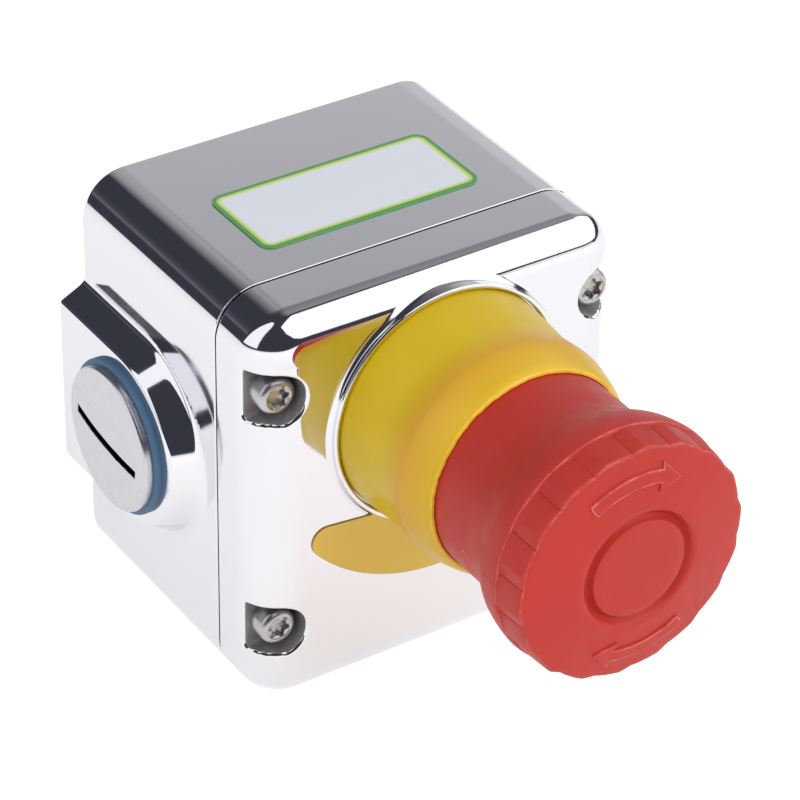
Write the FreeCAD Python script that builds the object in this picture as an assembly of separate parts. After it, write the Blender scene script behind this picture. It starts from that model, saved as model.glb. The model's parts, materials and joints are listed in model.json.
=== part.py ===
import FreeCAD, Part
import math
import os

# Emergency stop push button in a cast steel box, in millimetres.
# The origin is the centre of the flat rear face, +Z is up and the button points along -Y.

# Fits
fit_gap = 0.05
running_gap = 0.3
screw_hole_gap = 0.25

# Box
box_width = 75.0
box_height = 81.0
body_depth = 46.3
cover_depth = 14.2
gasket_thickness = 0.5
gasket_inset = 0.8
gasket_width = 1.8
wall = 4.0
cover_wall = 4.5
corner_radius = 8.6

# Cover screws, their pockets in the cover and their pillars in the body
screw_side_inset = 5.1
screw_top_inset = 14.85
screw_bottom_inset = 17.3
screw_shank_radius = 1.95
screw_head_radius = 3.5
screw_head_height = 4.4
screw_head_sunk = 2.0
screw_reach = 14.0
pillar_wall = 2.6
pocket_radius = 4.9
pocket_shift = 0.6
pocket_wall = 2.0

# Threaded blind holes in the rear face
fixing_spacing_x = 44.0
fixing_spacing_z = 56.0
fixing_hole_radius = 2.1
fixing_hole_depth = 7.5
fixing_pad_wall = 2.9
fixing_pad_height = 5.0

# Cable entry boss on the left side, with its plug and seal
entry_from_rear = 22.0
entry_radius = 10.0
boss_proud = 5.2
boss_half_height = 16.6
boss_nose_radius = 17.6
boss_flare = 2.6
boss_base_fillet = 3.0
boss_edge_chamfer = 0.4
seal_thickness = 1.2
seal_radius = 14.6
plug_radius = 13.6
plug_edge = 1.5
plug_dome = 1.0
slot_width = 1.6
slot_length = 20.6
slot_depth = 1.4
slot_tilt = 8.0

# Label on the top face and legend under the button
label_width = 44.8
label_length = 20.0
label_from_rear = 18.5
label_corner = 2.6
plate_thickness = 0.25
legend_width = 11.2
legend_cut_below_axis = 20.1
legend_cut_slope = 5.5
legend_gap = 0.25
legend_corner = 3.0

# Button axis and stroke
button_above_centre = 14.8
button_travel = 6.0
release_angle = 40.0

# Mushroom head
stem_radius = 19.2
skirt_wall = 2.4
skirt_clearance = 0.8
flare_start = 35.5
lip_start = 44.4
lip_overhang = 3.2
lip_round = 0.25
band_back = 49.4
band_front = 55.6
band_overhang = 3.85
band_taper = 0.6
tooth_count = 18
tooth_height = 0.7
tooth_phase = 13.0
face_rise = 1.9
face_groove_radius = 10.1
face_groove_half_width = 0.8
face_groove_floor = 0.5
face_groove_depth = 0.95
flare_bulge = 0.55
head_wall = 2.6
hub_bore_depth = 6.0
hub_length = 17.0

# Guard shroud and the collar that it stands in
shroud_wall = 1.95
shroud_base_flare = 0.75
shroud_waist = 13.5
shroud_rim = 20.0
shroud_rim_flare = 0.4
shroud_mouth = 26.1
shroud_lip = 0.3
shroud_rim_bulge = 0.3
shroud_flange = 2.5
stem_gap = 0.35
collar_wall = 1.0
collar_height = 1.5
collar_edge_chamfer = 0.3
collar_seat_gap = 0.15

# Operator barrel, its seal, washer and nut
barrel_radius = 11.0
barrel_front = 12.0
barrel_flange = 2.0
barrel_flange_gap = 0.6
barrel_overhang = 1.7
barrel_hole_gap = 0.2
seal_groove_radius = 7.0
seal_groove_depth = 2.0
seal_height = 1.8
washer_thickness = 0.8
washer_width = 3.1
nut_height = 5.0
nut_wall = 2.5

# Spindle, latch and return spring
spindle_radius = 5.0
latch_wire_radius = 0.6
latch_station = 8.5
latch_groove_depth = 0.7
latch_slot_gap = 0.1
latch_leg_end = 12.0
latch_bend_centre = 10.5
neck_radius = 3.0
disc_radius = 4.5
disc_thickness = 1.5
swivel_gap = 0.1
spring_wire = 1.6
spring_turns = 4

# Actuator plate and contact carrier
actuator_gap = 0.6
actuator_lip = 1.5
actuator_back = 1.5
actuator_half_height = 6.0
carrier_front_wall = 4.0
carrier_side_wall = 2.4
carrier_back_wall = 2.2
carrier_rim = 3.0
carrier_stop_gap = 0.5
carrier_screw_radius = 1.5

# Contact blocks
block_pitch = 10.2
block_gap = 0.4
block_half_height = 16.0
block_rear_gap = 2.0
block_front_wall = 3.0
block_rear_wall = 1.5
chamber_half_width = 3.4
chamber_half_height = 8.5
plunger_width = 4.0
plunger_reach = 12.0
bridge_thickness = 0.8
bridge_width = 3.2
bridge_half_length = 7.5
break_bridge_depth = 8.1
make_bridge_depth = 6.0
contact_gap = 0.1
strip_thickness = 0.8
strip_width = 4.0
strip_inner = 4.5
strip_outer = 14.2
terminal_offset = 12.0
terminal_pocket_half = 3.0
terminal_clamp_half = 2.7
terminal_clamp_thickness = 1.0
terminal_head_radius = 2.5
terminal_head_height = 2.0
terminal_shank_radius = 1.5
terminal_shank_reach = 4.0
contact_spring_radius = 1.5
contact_spring_wire = 0.5
contact_spring_turns = 3
coil_steps_per_turn = 8
small_bar_sides = 12

# Earth terminal on the rear wall, inside
earth_from_bottom = 16.5
earth_boss_height = 8.0
earth_boss_wall = 2.5
earth_shank_radius = 1.95
earth_shank_length = 7.0
earth_head_radius = 3.8
earth_head_height = 2.6
earth_saddle_side = 9.0
earth_saddle_thickness = 1.2

# Worked out from the sizes above
box_depth = body_depth + gasket_thickness + cover_depth
face_y = -box_depth
seam_y = -body_depth - gasket_thickness
side_x = -box_width / 2
screw_x = box_width / 2 - screw_side_inset
screw_rows = (box_height / 2 - screw_top_inset, screw_bottom_inset - box_height / 2)
screw_places = [(x, z) for z in screw_rows for x in (-screw_x, screw_x)]
screw_seat = screw_head_sunk + screw_head_height
pillar_radius = screw_shank_radius + pillar_wall
boss_face_x = side_x - boss_proud
button_z = button_above_centre
shroud_bore = stem_radius + stem_gap
waist_radius = shroud_bore + shroud_wall
shroud_base_radius = waist_radius + shroud_base_flare
collar_bore = shroud_base_radius + collar_seat_gap
collar_radius = collar_bore + collar_wall
skirt_bore = stem_radius - skirt_wall
skirt_end = shroud_flange + button_travel + skirt_clearance
lip_radius = stem_radius + lip_overhang
band_radius = stem_radius + band_overhang
face_top = band_front + face_rise
hub_end = face_top - hub_bore_depth - hub_length
spring_radius = (seal_groove_radius + barrel_radius) / 2
hub_radius = spring_radius + spring_wire / 2 + fit_gap
spindle_bore = spindle_radius + fit_gap
nut_front = cover_wall + washer_thickness
carrier_front = nut_front + nut_height
barrel_rear = carrier_front + carrier_front_wall + barrel_overhang
actuator_front = barrel_rear + actuator_gap
disc_room = disc_thickness + 2 * swivel_gap
actuator_rear = actuator_front + actuator_lip + disc_room + actuator_back
carrier_plate = actuator_rear + button_travel + carrier_stop_gap
block_front = carrier_plate + carrier_back_wall
block_rear = box_depth - wall - block_rear_gap
chamber_rear = block_rear - block_rear_wall
block_half_width = (block_pitch - block_gap) / 2
carrier_inner_half_width = 1.5 * block_pitch
carrier_half_width = carrier_inner_half_width + carrier_side_wall
carrier_half_height = barrel_radius + carrier_rim
plunger_rear = block_front + plunger_reach
latch_leg_offset = spindle_radius - latch_groove_depth + latch_wire_radius
earth_seat_y = -wall - earth_boss_height
earth_z = earth_from_bottom - box_height / 2

NUT_SIDES = 6
ALONG_X = FreeCAD.Vector(1, 0, 0)
ALONG_Y = FreeCAD.Vector(0, 1, 0)
ALONG_Z = FreeCAD.Vector(0, 0, 1)


def ahead(distance):
    """Y of a plane that lies this far in front of the cover's face; a negative distance lies behind it."""
    return face_y - distance


def behind(distance):
    """Y of a plane that lies this far behind the cover's face."""
    return face_y + distance


def closed_wire(corners, place):
    """Joins corners (u, v) by straight runs; a third number makes the run to that corner an arc of that height,
    positive on the right of the way of travel. place(u, v) gives the point in space."""
    edges = []
    for start, end in zip(corners, corners[1:] + corners[:1]):
        if math.dist(start[:2], end[:2]) < 1e-6:
            continue
        first = place(*start[:2])
        last = place(*end[:2])
        if len(end) == 2:
            edges.append(Part.LineSegment(first, last).toShape())
            continue
        run_u = end[0] - start[0]
        run_v = end[1] - start[1]
        share = end[2] / math.hypot(run_u, run_v)
        middle = place((start[0] + end[0]) / 2 + run_v * share, (start[1] + end[1]) / 2 - run_u * share)
        edges.append(Part.Arc(first, middle, last).toShape())
    return Part.Wire(edges)


def turned(corners, x=0.0, z=0.0):
    """Solid turned about the line along Y through (x, z), from corners (radius, y)."""
    wire = closed_wire(corners, lambda r, y: FreeCAD.Vector(x + r, y, z))
    return Part.Face(wire).revolve(FreeCAD.Vector(x, 0, z), ALONG_Y, 360)


def extruded(corners, start, end, x=0.0, z=0.0):
    """Solid of an outline (x, z), shifted to a place, from one y to another."""
    wire = closed_wire(corners, lambda u, v: FreeCAD.Vector(x + u, start, z + v))
    return Part.Face(wire).extrude(ALONG_Y * (end - start))


def rod(radius, start, end, x=0.0, z=0.0):
    """Round bar along Y."""
    return Part.makeCylinder(radius, end - start, FreeCAD.Vector(x, start, z), ALONG_Y)


def bar(sides, radius, start, end, x=0.0, z=0.0):
    """Bar along Y with a regular section that encloses a circle of the given radius."""
    corner = radius / math.cos(math.pi / sides)
    turn = 2 * math.pi / sides
    corners = [(corner * math.cos(k * turn), corner * math.sin(k * turn)) for k in range(sides)]
    return extruded(corners, start, end, x, z)


def tube(inner, outer, start, end, x=0.0, z=0.0):
    """Ring along Y."""
    return rod(outer, start, end, x, z).cut(rod(inner, start, end, x, z))


def box(half_x, half_z, start, end, x=0.0, z=0.0):
    """Block along Y with its middle at (x, z)."""
    corner = FreeCAD.Vector(x - half_x, start, z - half_z)
    return Part.makeBox(2 * half_x, end - start, 2 * half_z, corner)


def rounded_rectangle(width, height, radius):
    """Outline of a rectangle with round corners."""
    x = width / 2
    z = height / 2
    arc = radius * (1 - math.sqrt(0.5))
    return [(x - radius, -z), (x, radius - z, arc), (x, z - radius), (x - radius, z, arc),
            (radius - x, z), (-x, z - radius, arc), (-x, radius - z), (radius - x, -z, arc)]


def rounded_prism(inset, radius, start, end):
    """The box's outline, moved in by an inset, from one y to another."""
    outline = rounded_rectangle(box_width - 2 * inset, box_height - 2 * inset, radius)
    return extruded(outline, start, end)


def edges_in_plane(shape, axis, value):
    """Edges that lie in the plane where the named coordinate has the given value."""
    found = []
    for edge in shape.Edges:
        limits = edge.BoundBox
        low = getattr(limits, axis + "Min")
        high = getattr(limits, axis + "Max")
        if abs(low - value) < 1e-4 and abs(high - value) < 1e-4:
            found.append(edge)
    return found


def terminal_screw(head_radius, head_height, shank_radius, seat, tip, x, z):
    """Small screw with its head behind the seat and its shank running forward to the tip, or the reverse."""
    head_end = seat + math.copysign(head_height, seat - tip)
    head = bar(small_bar_sides, head_radius, min(seat, head_end), max(seat, head_end), x, z)
    return head.fuse(bar(small_bar_sides, shank_radius, min(seat, tip), max(seat, tip), x, z))


def coil(radius, wire, turns, start, end, x=0.0, z=0.0):
    """Compression spring of square wire along Y, ruled through sections set round its axis."""
    half = wire / 2
    steps = turns * coil_steps_per_turn
    rise = (end - start - wire) / steps
    sections = []
    for step in range(steps + 1):
        angle = 2 * math.pi * step / coil_steps_per_turn
        out = FreeCAD.Vector(math.cos(angle), 0, math.sin(angle))
        centre = FreeCAD.Vector(x, start + half + rise * step, z) + out * radius
        sections.append(square_section(centre, out, ALONG_Y, half))
    return Part.makeLoft(sections, True, True)


def square_section(centre, side, up, half):
    """Square wire outline round a point, in the plane of two directions."""
    corners = [centre + side * (u * half) + up * (v * half) for u, v in ((-1, -1), (1, -1), (1, 1), (-1, 1))]
    return Part.makePolygon(corners + corners[:1])


def boss_outline(grow):
    """Side view (y, z) of the cable entry boss: round towards the cover, straight to the rear face."""
    half_height = boss_half_height + grow
    radius = boss_nose_radius + grow
    nose = math.sqrt(radius ** 2 - half_height ** 2)
    return [(0, -half_height), (-entry_from_rear - nose, -half_height),
            (-entry_from_rear - nose, half_height, nose - radius), (0, half_height)]


def entry_boss():
    """Flared boss that stands on the left side, flush with the rear face."""
    root = closed_wire(boss_outline(boss_flare), lambda y, z: FreeCAD.Vector(side_x, y, z))
    front = closed_wire(boss_outline(0), lambda y, z: FreeCAD.Vector(boss_face_x, y, z))
    boss = Part.makeLoft([root, front], True, True)
    boss = boss.makeChamfer(boss_edge_chamfer, edges_in_plane(boss, "X", boss_face_x))
    return boss.fuse(Part.Face(root).extrude(ALONG_X * (wall / 2)))


def enclosure_body():
    """Cast box with its boss, cavity, screw pillars, rear fixings and earth boss."""
    body = rounded_prism(0, corner_radius, -body_depth, 0)
    body = body.fuse(entry_boss()).removeSplitter()
    body = body.makeFillet(boss_base_fillet, boss_root_edges(body))
    body = body.cut(rounded_prism(wall, corner_radius - wall, -body_depth, -wall))
    pad_half = fixing_hole_radius + fixing_pad_wall
    pads = [box(pad_half, pad_half, -wall - fixing_pad_height, -wall / 2, x, z) for x, z in fixing_places()]
    pillars = [screw_post(pillar_radius, x, z, -body_depth, -wall / 2) for x, z in screw_places]
    earth_half = earth_shank_radius + earth_boss_wall
    earth = box(earth_half, earth_half, earth_seat_y, -wall / 2, 0, earth_z)
    body = body.fuse(pads + pillars + [earth])
    holes = [rod(fixing_hole_radius, -fixing_hole_depth, 0, x, z) for x, z in fixing_places()]
    holes += [bar(small_bar_sides, screw_shank_radius + fit_gap, -body_depth,
                  -body_depth + screw_reach + fit_gap, x, z) for x, z in screw_places]
    holes.append(bar(small_bar_sides, earth_shank_radius + fit_gap, earth_seat_y,
                     earth_seat_y + earth_shank_length, 0, earth_z))
    holes.append(Part.makeCylinder(entry_radius, boss_proud + wall,
                                   FreeCAD.Vector(boss_face_x, -entry_from_rear, 0), ALONG_X))
    return body.cut(holes).removeSplitter()


def boss_root_edges(body):
    """Edges where the boss meets the left side, without the side's own straight edges."""
    reach = boss_half_height + boss_flare + wall
    return [edge for edge in edges_in_plane(body, "X", side_x)
            if abs(edge.BoundBox.ZMin) < reach and abs(edge.BoundBox.ZMax) < reach
            and -body_depth + 1e-4 < edge.BoundBox.YMin < -1e-4]


def screw_post(half, x, z, start, end):
    """Square post round a cover screw, joined to the nearest side wall."""
    outer = math.copysign(box_width / 2 - wall / 2, x)
    inner = x - math.copysign(half, x)
    return box(abs(outer - inner) / 2, half, start, end, (outer + inner) / 2, z)


def fixing_places():
    """Centres (x, z) of the four rear fixings."""
    return [(x * fixing_spacing_x / 2, z * fixing_spacing_z / 2) for z in (1, -1) for x in (-1, 1)]


def pocket_cutter(x, z):
    """Screw pocket: round towards the middle, open to the side."""
    side = math.copysign(1, x)
    reach = box_width / 2 - abs(x) + wall
    corners = [(side * reach, -pocket_radius), (side * pocket_shift, -pocket_radius),
               (side * pocket_shift, pocket_radius, -side * pocket_radius), (side * reach, pocket_radius)]
    return extruded(corners, ahead(collar_height), behind(screw_seat), x, z)


def collar():
    """Low round stand with a rim that locates the shroud."""
    corners = [(0, behind(cover_wall)), (collar_radius, behind(cover_wall)),
               (collar_radius, ahead(collar_height - collar_edge_chamfer)),
               (collar_radius - collar_edge_chamfer, ahead(collar_height)),
               (collar_bore, ahead(collar_height)), (collar_bore, face_y), (0, face_y)]
    return turned(corners, 0, button_z)


def front_cover():
    """Hollow cover with large round edges, a collar for the shroud and pockets for its screws."""
    cover = rounded_prism(0, corner_radius, face_y, seam_y)
    cover = cover.makeFillet(corner_radius, edges_in_plane(cover, "Y", face_y))
    cavity = rounded_prism(wall, corner_radius - wall, behind(cover_wall), seam_y)
    posts = [screw_post(pocket_radius + pocket_wall, x, z, behind(cover_wall), seam_y) for x, z in screw_places]
    cover = cover.cut(cavity.cut(posts)).fuse(collar())
    cuts = [pocket_cutter(x, z) for x, z in screw_places]
    cuts += [bar(small_bar_sides, screw_shank_radius + screw_hole_gap, face_y, seam_y, x, z)
             for x, z in screw_places]
    cuts.append(rod(barrel_radius + barrel_hole_gap, face_y, behind(cover_wall), 0, button_z))
    return cover.cut(cuts).removeSplitter()


def cover_gasket():
    """Flat gasket on the body's rim, outside the screws."""
    rim = rounded_prism(gasket_inset, corner_radius - gasket_inset, seam_y, -body_depth)
    inner = gasket_inset + gasket_width
    return rim.cut(rounded_prism(inner, corner_radius - inner, seam_y, -body_depth))


def cover_screws():
    """Four cap screws that hold the cover on the body's pillars."""
    top = behind(screw_head_sunk)
    seat = behind(screw_seat)
    tip = -body_depth + screw_reach
    screws = []
    for x, z in screw_places:
        head = rod(screw_head_radius, top, seat, x, z)
        screws.append(head.fuse(bar(small_bar_sides, screw_shank_radius, seat, tip, x, z)))
    return Part.makeCompound(screws)


def entry_plug():
    """Domed plug with a straight slot, screwed into the cable entry."""
    seal_face = boss_face_x - seal_thickness
    crown = seal_face - plug_edge - plug_dome
    centre = FreeCAD.Vector(0, -entry_from_rear, 0)
    head = Part.makeCylinder(plug_radius, plug_edge + plug_dome, centre + ALONG_X * crown, ALONG_X)
    dome_radius = (plug_radius ** 2 + plug_dome ** 2) / (2 * plug_dome)
    head = head.common(Part.makeSphere(dome_radius, centre + ALONG_X * (crown + dome_radius)))
    shank = Part.makeCylinder(entry_radius - fit_gap, boss_proud + wall + seal_thickness,
                              centre + ALONG_X * seal_face, ALONG_X)
    slot = Part.makeBox(slot_depth, slot_length, slot_width,
                        FreeCAD.Vector(crown, -entry_from_rear - slot_length / 2, -slot_width / 2))
    slot.rotate(centre, ALONG_X, slot_tilt)
    return head.fuse(shank).cut(slot).removeSplitter()


def entry_seal():
    """Sealing washer between the plug's head and the boss."""
    start = FreeCAD.Vector(boss_face_x - seal_thickness, -entry_from_rear, 0)
    disc = Part.makeCylinder(seal_radius, seal_thickness, start, ALONG_X)
    return disc.cut(Part.makeCylinder(entry_radius, seal_thickness, start, ALONG_X))


def rating_label():
    """Thin bare label on the top face."""
    outline = rounded_rectangle(label_width, label_length, label_corner)
    middle = -label_from_rear - label_length / 2
    wire = closed_wire(outline, lambda x, y: FreeCAD.Vector(x, middle + y, box_height / 2))
    return Part.Face(wire).extrude(ALONG_Z * plate_thickness)


def legend_plate():
    """Thin bare crescent below the button: its two ends slope down to the middle and have round tips."""
    inner = collar_radius + legend_gap
    outer = inner + legend_width
    ring = tube(inner, outer, ahead(plate_thickness), face_y, 0, button_z)
    end_height = outer * math.tan(math.radians(legend_cut_slope)) - legend_cut_below_axis
    keep = extruded([(0, -legend_cut_below_axis), (-outer, end_height), (-outer, -outer), (outer, -outer),
                     (outer, end_height)], ahead(plate_thickness), face_y, 0, button_z)
    plate = ring.common(keep)
    tips = [edge for edge in plate.Edges
            if edge.BoundBox.XLength < 1e-4 and edge.BoundBox.ZLength < 1e-4
            and math.hypot(edge.CenterOfMass.x, edge.CenterOfMass.z - button_z) > inner + legend_width / 2]
    return plate.makeFillet(legend_corner, tips)


def guard_shroud():
    """Guard sleeve with a waist, a rounded rim and a flange that the barrel clamps."""
    bore = barrel_radius + barrel_hole_gap
    corners = [(bore, face_y), (shroud_base_radius, face_y), (waist_radius, ahead(shroud_waist)),
               (waist_radius + shroud_rim_flare, ahead(shroud_rim)),
               (shroud_bore + shroud_lip, ahead(shroud_mouth), -shroud_rim_bulge),
               (shroud_bore, ahead(shroud_mouth)), (shroud_bore, ahead(shroud_flange)),
               (bore, ahead(shroud_flange))]
    return turned(corners, 0, button_z)


def grip_teeth():
    """Ring of saw teeth round the head: each rises in the counter-clockwise sense and ends in a step."""
    root = band_radius - tooth_height
    pitch = 2 * math.pi / tooth_count
    phase = math.radians(tooth_phase)
    corners = []
    for index in range(tooth_count):
        step = phase + index * pitch
        for angle, radius in ((step, root), (step + pitch, band_radius)):
            corners.append((radius * math.cos(angle), radius * math.sin(angle)))
    teeth = extruded(corners, ahead(band_front), ahead(band_back), 0, button_z)
    tip = band_radius - band_taper
    envelope = turned([(0, ahead(band_back)), (band_radius, ahead(band_back)),
                       (tip, ahead(band_front)), (0, ahead(band_front))], 0, button_z)
    core = rod(root - band_taper - head_wall / 2, ahead(band_front), ahead(band_back), 0, button_z)
    return teeth.common(envelope).cut(core)


def mushroom_head():
    """Hollow head with a long skirt, a flared lip, a toothed band, a ring groove in its face and a hub."""
    root = band_radius - tooth_height
    groove_outer = face_groove_radius + face_groove_half_width
    groove_inner = face_groove_radius - face_groove_half_width
    groove_floor = ahead(face_top - face_groove_depth)
    roof = band_front - head_wall
    corners = [(skirt_bore, ahead(skirt_end)), (stem_radius, ahead(skirt_end)),
               (stem_radius, ahead(flare_start)), (lip_radius, ahead(lip_start), flare_bulge),
               (lip_radius + lip_round, ahead(lip_start + 2 * lip_round)),
               (band_radius, ahead(band_back)), (root, ahead(band_back)),
               (root - band_taper, ahead(band_front)),
               (groove_outer, ahead(face_top)),
               (face_groove_radius + face_groove_floor / 2, groove_floor),
               (face_groove_radius - face_groove_floor / 2, groove_floor), (groove_inner, ahead(face_top)),
               (0, ahead(face_top)), (0, ahead(face_top - hub_bore_depth)),
               (spindle_bore, ahead(face_top - hub_bore_depth)), (spindle_bore, ahead(hub_end)),
               (hub_radius, ahead(hub_end)), (hub_radius, ahead(roof)), (skirt_bore, ahead(roof))]
    return turned(corners, 0, button_z).fuse(grip_teeth()).removeSplitter()


def spindle():
    """Shaft with two latch grooves, flats that free the latch when turned, and a disc for the actuator."""
    groove = spindle_radius - latch_groove_depth
    half = latch_wire_radius + latch_slot_gap
    shoulder = behind(actuator_front - swivel_gap)
    disc_front = behind(actuator_front + actuator_lip + swivel_gap)
    corners = [(0, ahead(face_top - hub_bore_depth)), (spindle_radius, ahead(face_top - hub_bore_depth))]
    for station in (latch_station + button_travel, latch_station):
        corners += [(spindle_radius, ahead(station + half + latch_groove_depth)),
                    (groove, ahead(station + half)), (groove, ahead(station - half)),
                    (spindle_radius, ahead(station - half - latch_groove_depth))]
    corners += [(spindle_radius, shoulder), (neck_radius, shoulder), (neck_radius, disc_front),
                (disc_radius, disc_front), (disc_radius, disc_front + disc_thickness),
                (0, disc_front + disc_thickness)]
    shaft = turned(corners, 0, button_z)
    axis_point = FreeCAD.Vector(0, 0, button_z)
    for side in (1, -1):
        flat = box(groove, spindle_radius / 2, ahead(latch_station + button_travel), ahead(latch_station),
                   0, button_z + side * (groove + spindle_radius / 2))
        flat.rotate(axis_point, ALONG_Y, -release_angle)
        shaft = shaft.cut(flat)
    return shaft


def operator_barrel():
    """Flanged guide tube with a seal groove in its mouth and slots for the latch spring's legs."""
    flange_front = shroud_flange + barrel_flange
    flange_radius = skirt_bore - barrel_flange_gap
    seal_floor = barrel_front - seal_groove_depth
    corners = [(barrel_radius, ahead(barrel_front)), (barrel_radius, ahead(flange_front)),
               (flange_radius, ahead(flange_front)), (flange_radius, ahead(shroud_flange)),
               (barrel_radius, ahead(shroud_flange)), (barrel_radius, behind(barrel_rear)),
               (spindle_bore, behind(barrel_rear)), (spindle_bore, ahead(seal_floor)),
               (seal_groove_radius, ahead(seal_floor)), (seal_groove_radius, ahead(barrel_front))]
    barrel = turned(corners, 0, button_z)
    half = latch_wire_radius + latch_slot_gap
    slots = [box(barrel_radius, half, ahead(latch_station + half), ahead(latch_station - half),
                 0, button_z + side * latch_leg_offset) for side in (1, -1)]
    return barrel.cut(slots)


def latch_spring():
    """Hairpin wire whose two legs lie in the spindle's groove."""
    y = ahead(latch_station)
    legs = [(-latch_leg_end, latch_leg_offset), (latch_bend_centre, latch_leg_offset),
            (latch_bend_centre, -latch_leg_offset), (-latch_leg_end, -latch_leg_offset)]
    points = [FreeCAD.Vector(x, y, button_z + z) for x, z in legs]
    bend = FreeCAD.Vector(latch_bend_centre + latch_leg_offset, y, button_z)
    path = Part.Wire([Part.LineSegment(points[0], points[1]).toShape(),
                      Part.Arc(points[1], bend, points[2]).toShape(),
                      Part.LineSegment(points[2], points[3]).toShape()])
    section = square_section(points[0], ALONG_Y, ALONG_Z, latch_wire_radius)
    return path.makePipeShell([section], True, False)


def spindle_seal():
    """Ring seal in the barrel's mouth."""
    floor = barrel_front - seal_groove_depth
    return tube(spindle_bore, seal_groove_radius - fit_gap, ahead(floor + seal_height), ahead(floor),
                0, button_z)


def return_spring():
    """Coil between the barrel's mouth and the head's hub."""
    return coil(spring_radius, spring_wire, spring_turns, ahead(hub_end), ahead(barrel_front), 0, button_z)


def lock_washer():
    """Plain ring under the nut."""
    inner = barrel_radius + fit_gap
    return tube(inner, inner + washer_width, behind(cover_wall), behind(nut_front), 0, button_z)


def fixing_nut():
    """Hexagon nut that clamps the barrel in the cover."""
    nut = bar(NUT_SIDES, barrel_radius + nut_wall, behind(nut_front), behind(carrier_front), 0, button_z)
    return nut.cut(rod(barrel_radius + fit_gap, behind(nut_front), behind(carrier_front), 0, button_z))


def block_places():
    """Name, x and kind of each contact block."""
    return [("left", -block_pitch, "break"), ("middle", 0.0, "make"), ("right", block_pitch, "break")]


def contact_carrier():
    """Cage clamped on the barrel's end: it guides the actuator and holds the contact blocks."""
    cage = box(carrier_half_width, carrier_half_height, behind(carrier_front), behind(block_front), 0, button_z)
    room = box(carrier_inner_half_width, carrier_half_height,
               behind(carrier_front + carrier_front_wall), behind(carrier_plate), 0, button_z)
    cuts = [room, rod(barrel_radius + fit_gap, behind(carrier_front),
                      behind(carrier_front + carrier_front_wall), 0, button_z)]
    hole = plunger_width / 2 + running_gap
    cuts += [box(hole, hole, behind(carrier_plate), behind(block_front), x, button_z)
             for _, x, _ in block_places()]
    screw_y = behind(carrier_front + carrier_front_wall / 2)
    cuts.append(upright_bar(carrier_screw_radius + fit_gap, screw_y, button_z - carrier_half_height,
                            2 * carrier_half_height))
    return cage.cut(cuts)


def upright_bar(radius, y, low, length):
    """Small bar along Z through the button's middle plane."""
    stock = bar(small_bar_sides, radius, 0, length)
    stock.rotate(FreeCAD.Vector(0, 0, 0), ALONG_X, 90)
    stock.translate(FreeCAD.Vector(0, y, low))
    return stock


def carrier_screws():
    """Two set screws that clamp the carrier on the barrel."""
    screw_y = behind(carrier_front + carrier_front_wall / 2)
    length = carrier_rim - fit_gap
    low = button_z - carrier_half_height
    high = button_z + carrier_half_height - length
    return Part.makeCompound([upright_bar(carrier_screw_radius, screw_y, z, length) for z in (low, high)])


def actuator_plate():
    """Slider, keyed between the carrier's sides, that hooks the spindle's disc in a slot open at the bottom."""
    half_width = carrier_inner_half_width - running_gap
    plate = box(half_width, actuator_half_height, behind(actuator_front), behind(actuator_rear), 0, button_z)
    neck_end = behind(actuator_front + actuator_lip)
    disc_end = neck_end + disc_room
    slot_half = actuator_half_height / 2
    for radius, start, end in ((neck_radius, behind(actuator_front), neck_end),
                               (disc_radius, neck_end, disc_end)):
        room = radius + swivel_gap
        plate = plate.cut([rod(room, start, end, 0, button_z),
                           box(room, slot_half, start, end, 0, button_z - slot_half)])
    return plate


def bridge_front(kind):
    """Y of the front of a contact bridge at rest."""
    depth = break_bridge_depth if kind == "break" else make_bridge_depth
    return behind(block_front + depth)


def strip_front(kind):
    """Y of the front of the fixed contact strips: before a break bridge, a stroke behind a make bridge."""
    if kind == "break":
        return bridge_front(kind) - contact_gap - strip_thickness
    return bridge_front(kind) + bridge_thickness + button_travel + contact_gap


def contact_block(x, kind):
    """Insulating housing with a plunger channel, a contact chamber and two terminal pockets."""
    block = box(block_half_width, block_half_height, behind(block_front), behind(block_rear), x, button_z)
    channel = plunger_width / 2 + running_gap
    strips = strip_front(kind)
    slot_start = strips - fit_gap
    slot_end = strips + strip_thickness
    cuts = [box(channel, channel, behind(block_front), behind(block_front + block_front_wall), x, button_z),
            box(chamber_half_width, chamber_half_height, behind(block_front + block_front_wall),
                behind(chamber_rear), x, button_z),
            box(strip_width / 2 + fit_gap, strip_outer + fit_gap, slot_start, slot_end, x, button_z)]
    for side in (1, -1):
        z = button_z + side * terminal_offset
        cuts.append(box(terminal_pocket_half, terminal_pocket_half, slot_end, behind(block_rear), x, z))
        cuts.append(bar(small_bar_sides, terminal_shank_radius + fit_gap, strips - terminal_shank_reach,
                        slot_end, x, z))
    return block.cut(cuts)


def fixed_contacts(x, kind):
    """Two brass strips that run from the chamber to the terminal pockets and fork round the screws."""
    start = strip_front(kind)
    end = start + strip_thickness
    half = (strip_outer - strip_inner) / 2
    fork_half_width = terminal_shank_radius + 2 * fit_gap
    fork_inner = terminal_offset - fork_half_width
    fork_half = (strip_outer - fork_inner) / 2
    strips = []
    for side in (1, -1):
        strip = box(strip_width / 2, half, start, end, x, button_z + side * (strip_inner + half))
        fork = box(fork_half_width, fork_half, start, end, x, button_z + side * (fork_inner + fork_half))
        strips.append(strip.cut(fork))
    return Part.makeCompound(strips)


def terminal_clamps(x, kind):
    """Two square clamp plates that press the wires on the strips."""
    start = strip_front(kind) + strip_thickness
    end = start + terminal_clamp_thickness
    clamps = []
    for side in (1, -1):
        z = button_z + side * terminal_offset
        plate = box(terminal_clamp_half, terminal_clamp_half, start, end, x, z)
        clamps.append(plate.cut(bar(small_bar_sides, terminal_shank_radius + fit_gap, start, end, x, z)))
    return Part.makeCompound(clamps)


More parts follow.
